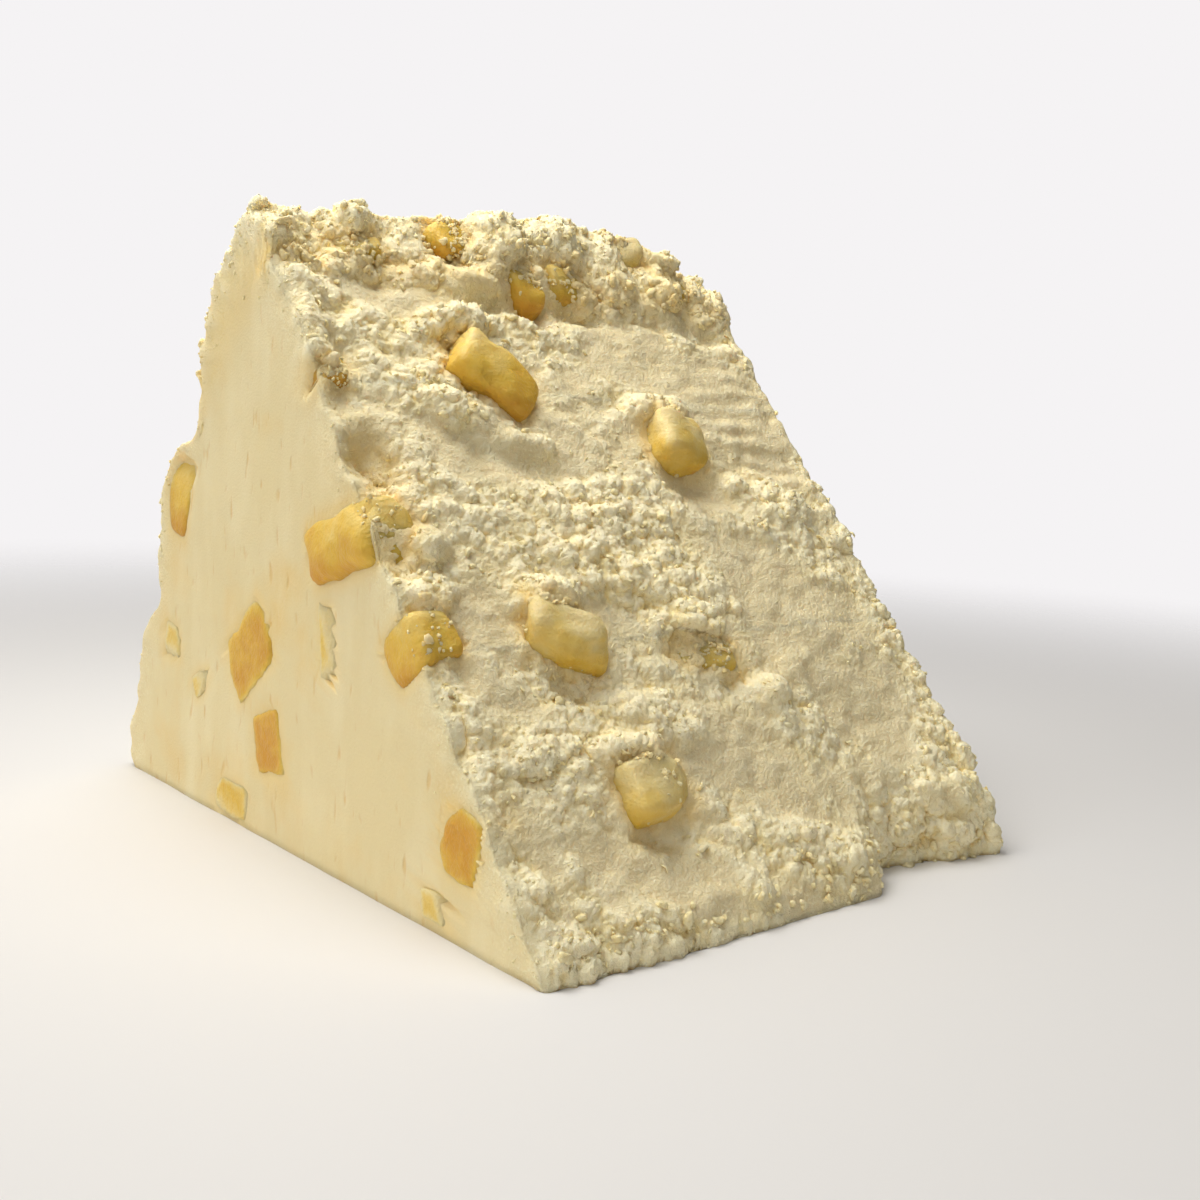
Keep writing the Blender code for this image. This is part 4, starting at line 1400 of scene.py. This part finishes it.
@dataclass
class Studio:
    """A flat pale floor that fades into the background, soft lamps and the camera, in millimetres."""

    floor_rings: tuple = (30.0, 80.0, 150.0, 260.0, 400.0, 600.0)
    floor_sides: int = 96
    fade_from: float = 100.0
    fade_to: float = 360.0
    bright_side: tuple = (-0.74, 0.50, 0.45)
    dark_light: float = 0.07
    bright_light: float = 0.86
    lamps: tuple = (
        ("window", (-880, 520, 640), 620, 1.4, "ffffff"),
        ("top", (-60, 360, 1000), 320, 1.2, "fffdf8"),
        ("over_ridge", (-30, 24, 190), 100, 0.215, "fffdf8"),
    )
    lit_place: tuple = (0.0, 0.0, 30.0)
    azimuth: float = -40.82
    elevation: float = 6.90
    roll: float = 2.91
    distance: float = 156.3
    target: tuple = (3.943, -3.57, 24.971)
    focal_px: float = 1352.0
    image_px: float = 1200.0
    sensor_mm: float = 36.0

    def stand(self, data: bpy.types.ID, place: Array, right: Array, back: Array) -> bpy.types.Object:
        """Puts a camera or a lamp into the scene.

        Args:
            data: The camera or the lamp, whose name the object takes.
            place: Where it is, in millimetres.
            right: The unit vector to its right.
            back: The unit vector away from what it looks at.

        Returns:
            The new object.
        """
        thing = bpy.data.objects.new(data.name, data)
        turn = Matrix(np.column_stack([right, np.cross(back, right), back]).tolist()).to_4x4()
        thing.matrix_world = Matrix.Translation(place * MM) @ turn
        bpy.context.scene.collection.objects.link(thing)
        return thing

    def camera(self) -> None:
        """Places the camera at the photo's viewing angle and makes it the scene's camera."""
        azimuth, elevation, roll = map(math.radians, (self.azimuth, self.elevation, self.roll))
        level = np.array([math.sin(azimuth), -math.cos(azimuth), 0.0])
        back = level * math.cos(elevation) + np.array([0.0, 0.0, math.sin(elevation)])
        right = np.array([math.cos(azimuth), math.sin(azimuth), 0.0])
        right = right * math.cos(roll) + np.cross(back, right) * math.sin(roll)
        data = bpy.data.cameras.new("photo_camera")
        data.sensor_width = self.sensor_mm
        data.lens = self.focal_px / self.image_px * self.sensor_mm
        data.clip_start = 0.005
        data.clip_end = 20.0
        place = np.array(self.target) + back * self.distance
        bpy.context.scene.camera = self.stand(data, place, right, back)

    def floor(self) -> None:
        """The floor: rings of points round Z, radius times cos and sin, and a fan in the middle."""
        radius = np.array(self.floor_rings)[:, None]
        turn = np.linspace(0, 2 * math.pi, self.floor_sides, endpoint=False)
        rings = np.stack([radius * np.cos(turn), radius * np.sin(turn), 0 * radius * turn], -1)
        points = np.concatenate([rings.reshape(-1, 3), [[0, 0, 0]]])
        order = np.arange(len(points) - 1).reshape(len(radius), -1)
        after = np.roll(order, -1, 1)
        squares = np.stack([order[:-1], order[1:], after[1:], after[:-1]], -1).reshape(-1, 4)
        fan = np.stack([np.full(self.floor_sides, len(points) - 1), order[0], after[0]], -1)
        mesh = bpy.data.meshes.new("studio_floor")
        mesh.from_pydata((points * MM).tolist(), [], squares.tolist() + fan.tolist())
        floor = bpy.data.objects.new("studio_floor", mesh)
        bpy.context.scene.collection.objects.link(floor)
        # Matt white, and clear towards its rim, so that no edge of it shows
        material, tree = empty_material("matt_white_backdrop")
        place = add_node(tree, "TexCoord", output="Object")
        distance = add_node(tree, "VectorMath", {0: place}, "Value", operation="LENGTH")
        fade = add_node(tree, "MapRange", {
            "Value": distance, "From Min": self.fade_from * MM, "From Max": self.fade_to * MM,
        }, interpolation_type="SMOOTHSTEP")
        matt = add_node(tree, "BsdfPrincipled", {"Base Color": linear("e6e4e2"), "Roughness": 0.6})
        clear = add_node(tree, "BsdfTransparent")
        mixed = add_node(tree, "MixShader", {0: fade, 1: matt, 2: clear})
        add_node(tree, "OutputMaterial", {"Surface": mixed})
        mesh.materials.append(material)

    def light(self) -> None:
        """Soft light from behind on the left and above, with a pale fill all round."""
        world = bpy.data.worlds.new("studio_world")
        world.use_nodes = True
        tree = world.node_tree
        tree.nodes.clear()
        direction = add_node(tree, "TexCoord", output="Generated")
        bright_side = unit(np.array(self.bright_side))
        facing = add_node(
            tree, "VectorMath", {0: direction, 1: bright_side}, "Value", operation="DOT_PRODUCT",
        )
        strength = add_node(tree, "MapRange", {
            "Value": facing, "From Min": -0.55, "To Min": self.dark_light, "To Max": self.bright_light,
        }, interpolation_type="SMOOTHSTEP")
        around = add_node(tree, "Background", {"Color": linear("f6f4f2"), "Strength": strength})
        seen = add_node(tree, "Background", {"Color": linear("f5f3f4"), "Strength": 1.0})
        camera_ray = add_node(tree, "LightPath", output="Is Camera Ray")
        mixed = add_node(tree, "MixShader", {0: camera_ray, 1: around, 2: seen})
        add_node(tree, "OutputWorld", {"Surface": mixed})
        bpy.context.scene.world = world
        # Square lamps that face the wedge: name, place, side, watts and colour
        for name, place, size, power, colour in self.lamps:
            data = bpy.data.lights.new(name, "AREA")
            data.size = size * MM
            data.energy = power
            data.color = linear(colour)[:3]
            back = unit(np.array(place) - np.array(self.lit_place))
            lamp = self.stand(data, np.array(place), unit(np.cross([0.0, 0.0, 1.0], back)), back)
            lamp.visible_camera = False
        bpy.context.scene.view_settings.view_transform = "Standard"


def scatter_crumbs(body: CheeseBody, cheese: bpy.types.Material) -> None:
    """Lays the kinds of crumbs on the cheese.

    Args:
        body: The finished cheese, whose surface and masks say where crumbs lie.
        cheese: Their material.
    """
    at, room = body.at, body.room
    standing = share((at["height"] - 0.5) / 1.0)
    open_face = share(at["slope"] + at["rim"]) * standing
    on_slope = at["slope"] * (1 - 0.9 * at["rim"])
    lip = near(at["across"], 1.2) * open_face
    inner = 1 - 0.85 * near(at["from_side"], 1.6)
    foot = near(at["up"] - 1.2, 2.2) * at["slope"] * inner
    bands = at["crumbly"] ** 2 + 0.5 * at["shoulder"]
    tops = 0.25 + np.clip(0.5 + 1.6 * at["fine"], 0, 1.2)
    places = {
        "slope": room * open_face * on_slope * bands * inner * tops,
        "crest": room * open_face * at["shoulder"] * inner * tops,
        "rim": room * open_face * at["rim"] * (0.3 + at["crumbly"]) * inner * tops,
        "plates": room * open_face * on_slope * (0.05 + at["crumbly"]),
        "edges": room * open_face * (bands + 1.5 * lip) * tops,
        "foot": room * foot,
    }
    # Place, name, count, smallest and largest half size, rings, points round, seed, how raised, buds
    kinds = (
        ("slope", "crumb_clods_slope", 800, 0.26, 0.80, 7, 11, 11, -0.3, 18),
        ("crest", "crumb_clods_ridge", 650, 0.34, 1.05, 8, 12, 12, -0.15, 20),
        ("rim", "crumb_clods_rim", 900, 0.36, 1.0, 6, 9, 13, -0.2, 14),
        ("edges", "crumb_buds_slope", 3400, 0.14, 0.34, 4, 7, 14, -0.25, 8),
        ("plates", "crumb_grains_slope", 6500, 0.07, 0.19, 2, 6, 15, -0.3, 0),
        ("rim", "crumb_grains_rim", 3600, 0.14, 0.34, 2, 6, 16, 0.0, 0),
        ("plates", "crumb_flakes", 700, 0.22, 0.70, 4, 8, 17, 0.1, 0),
        ("foot", "crumb_clods_foot", 220, 0.36, 0.95, 6, 9, 18, 0.0, 14),
    )
    for place, *sizes in kinds:
        crumbs = CrumbScatter(*sizes, flake="flakes" in sizes[0])
        crumbs.build(body.surface, body.outward, places[place], at["stain"], cheese)


def crumbs_on_ginger(body: CheeseBody, ginger: list[GingerDice], cheese: bpy.types.Material) -> None:
    """Lays cheese crumbs on the ginger: round the rim of each socket, and over the upper sides.

    Args:
        body: The finished cheese.
        ginger: The finished pieces.
        cheese: The crumbs' material.
    """
    shown = [dice for dice in ginger if dice.on_slope]
    surface = np.concatenate([dice.surface for dice in shown])
    outward = np.concatenate([dice.outward for dice in shown])
    cover = np.repeat([CRUMB_COVER.get(dice.name, 0.0) for dice in shown], len(shown[0].surface))
    height = (surface - body.sector.tip) @ body.sector.off_slope - body.slope_level(surface)
    upper = share(outward @ body.sector.up_slope)
    clusters = share(soft_noise(surface, 2.2, 91)[:, 0] + 0.35) ** 2
    stain_and_painted_light = np.full(len(surface), 0.2)
    rim_weight = near(height - 0.2, 0.6) * (0.15 + 1.4 * upper) * (clusters + 0.03)
    top_weight = cover * (height > -0.2) * (clusters + 0.05)
    round_it = CrumbScatter("crumbs_round_ginger", 1300, 0.16, 0.55, 4, 7, 8, 0.0, 8)
    on_it = CrumbScatter("crumbs_on_ginger", 260, 0.25, 0.80, 6, 9, 9, -0.1, 12)
    for crumbs, weight in ((round_it, rim_weight), (on_it, top_weight)):
        crumbs.build(surface, outward, weight, stain_and_painted_light, cheese)


def main() -> None:
    """Builds the wedge and its studio."""
    logging.basicConfig(level=logging.INFO, format="%(message)s")
    studio = Studio()
    studio.camera()
    cheese = PressedCurd().material()
    # The crumbs' painted shade in their hollows is a paler yellow
    crumb = PressedCurd(
        name="clinging_cheese_crumb", crevice_painted_shade="e9cf93", body_light=0.5, light_depth_mm=(0.5, 0.36, 0.18),
    ).material()
    amber = CandiedGinger().material()
    ginger = [GingerDice(name) for name in sorted(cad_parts) if name != "wedge"]
    body = CheeseBody()
    body.build(ginger, cheese)
    SlopeCrust().build(body, cheese)
    scatter_crumbs(body, crumb)
    for dice in ginger:
        dice.build(amber)
    crumbs_on_ginger(body, ginger, crumb)
    studio.floor()
    studio.light()


if __name__ == "__main__":
    main()
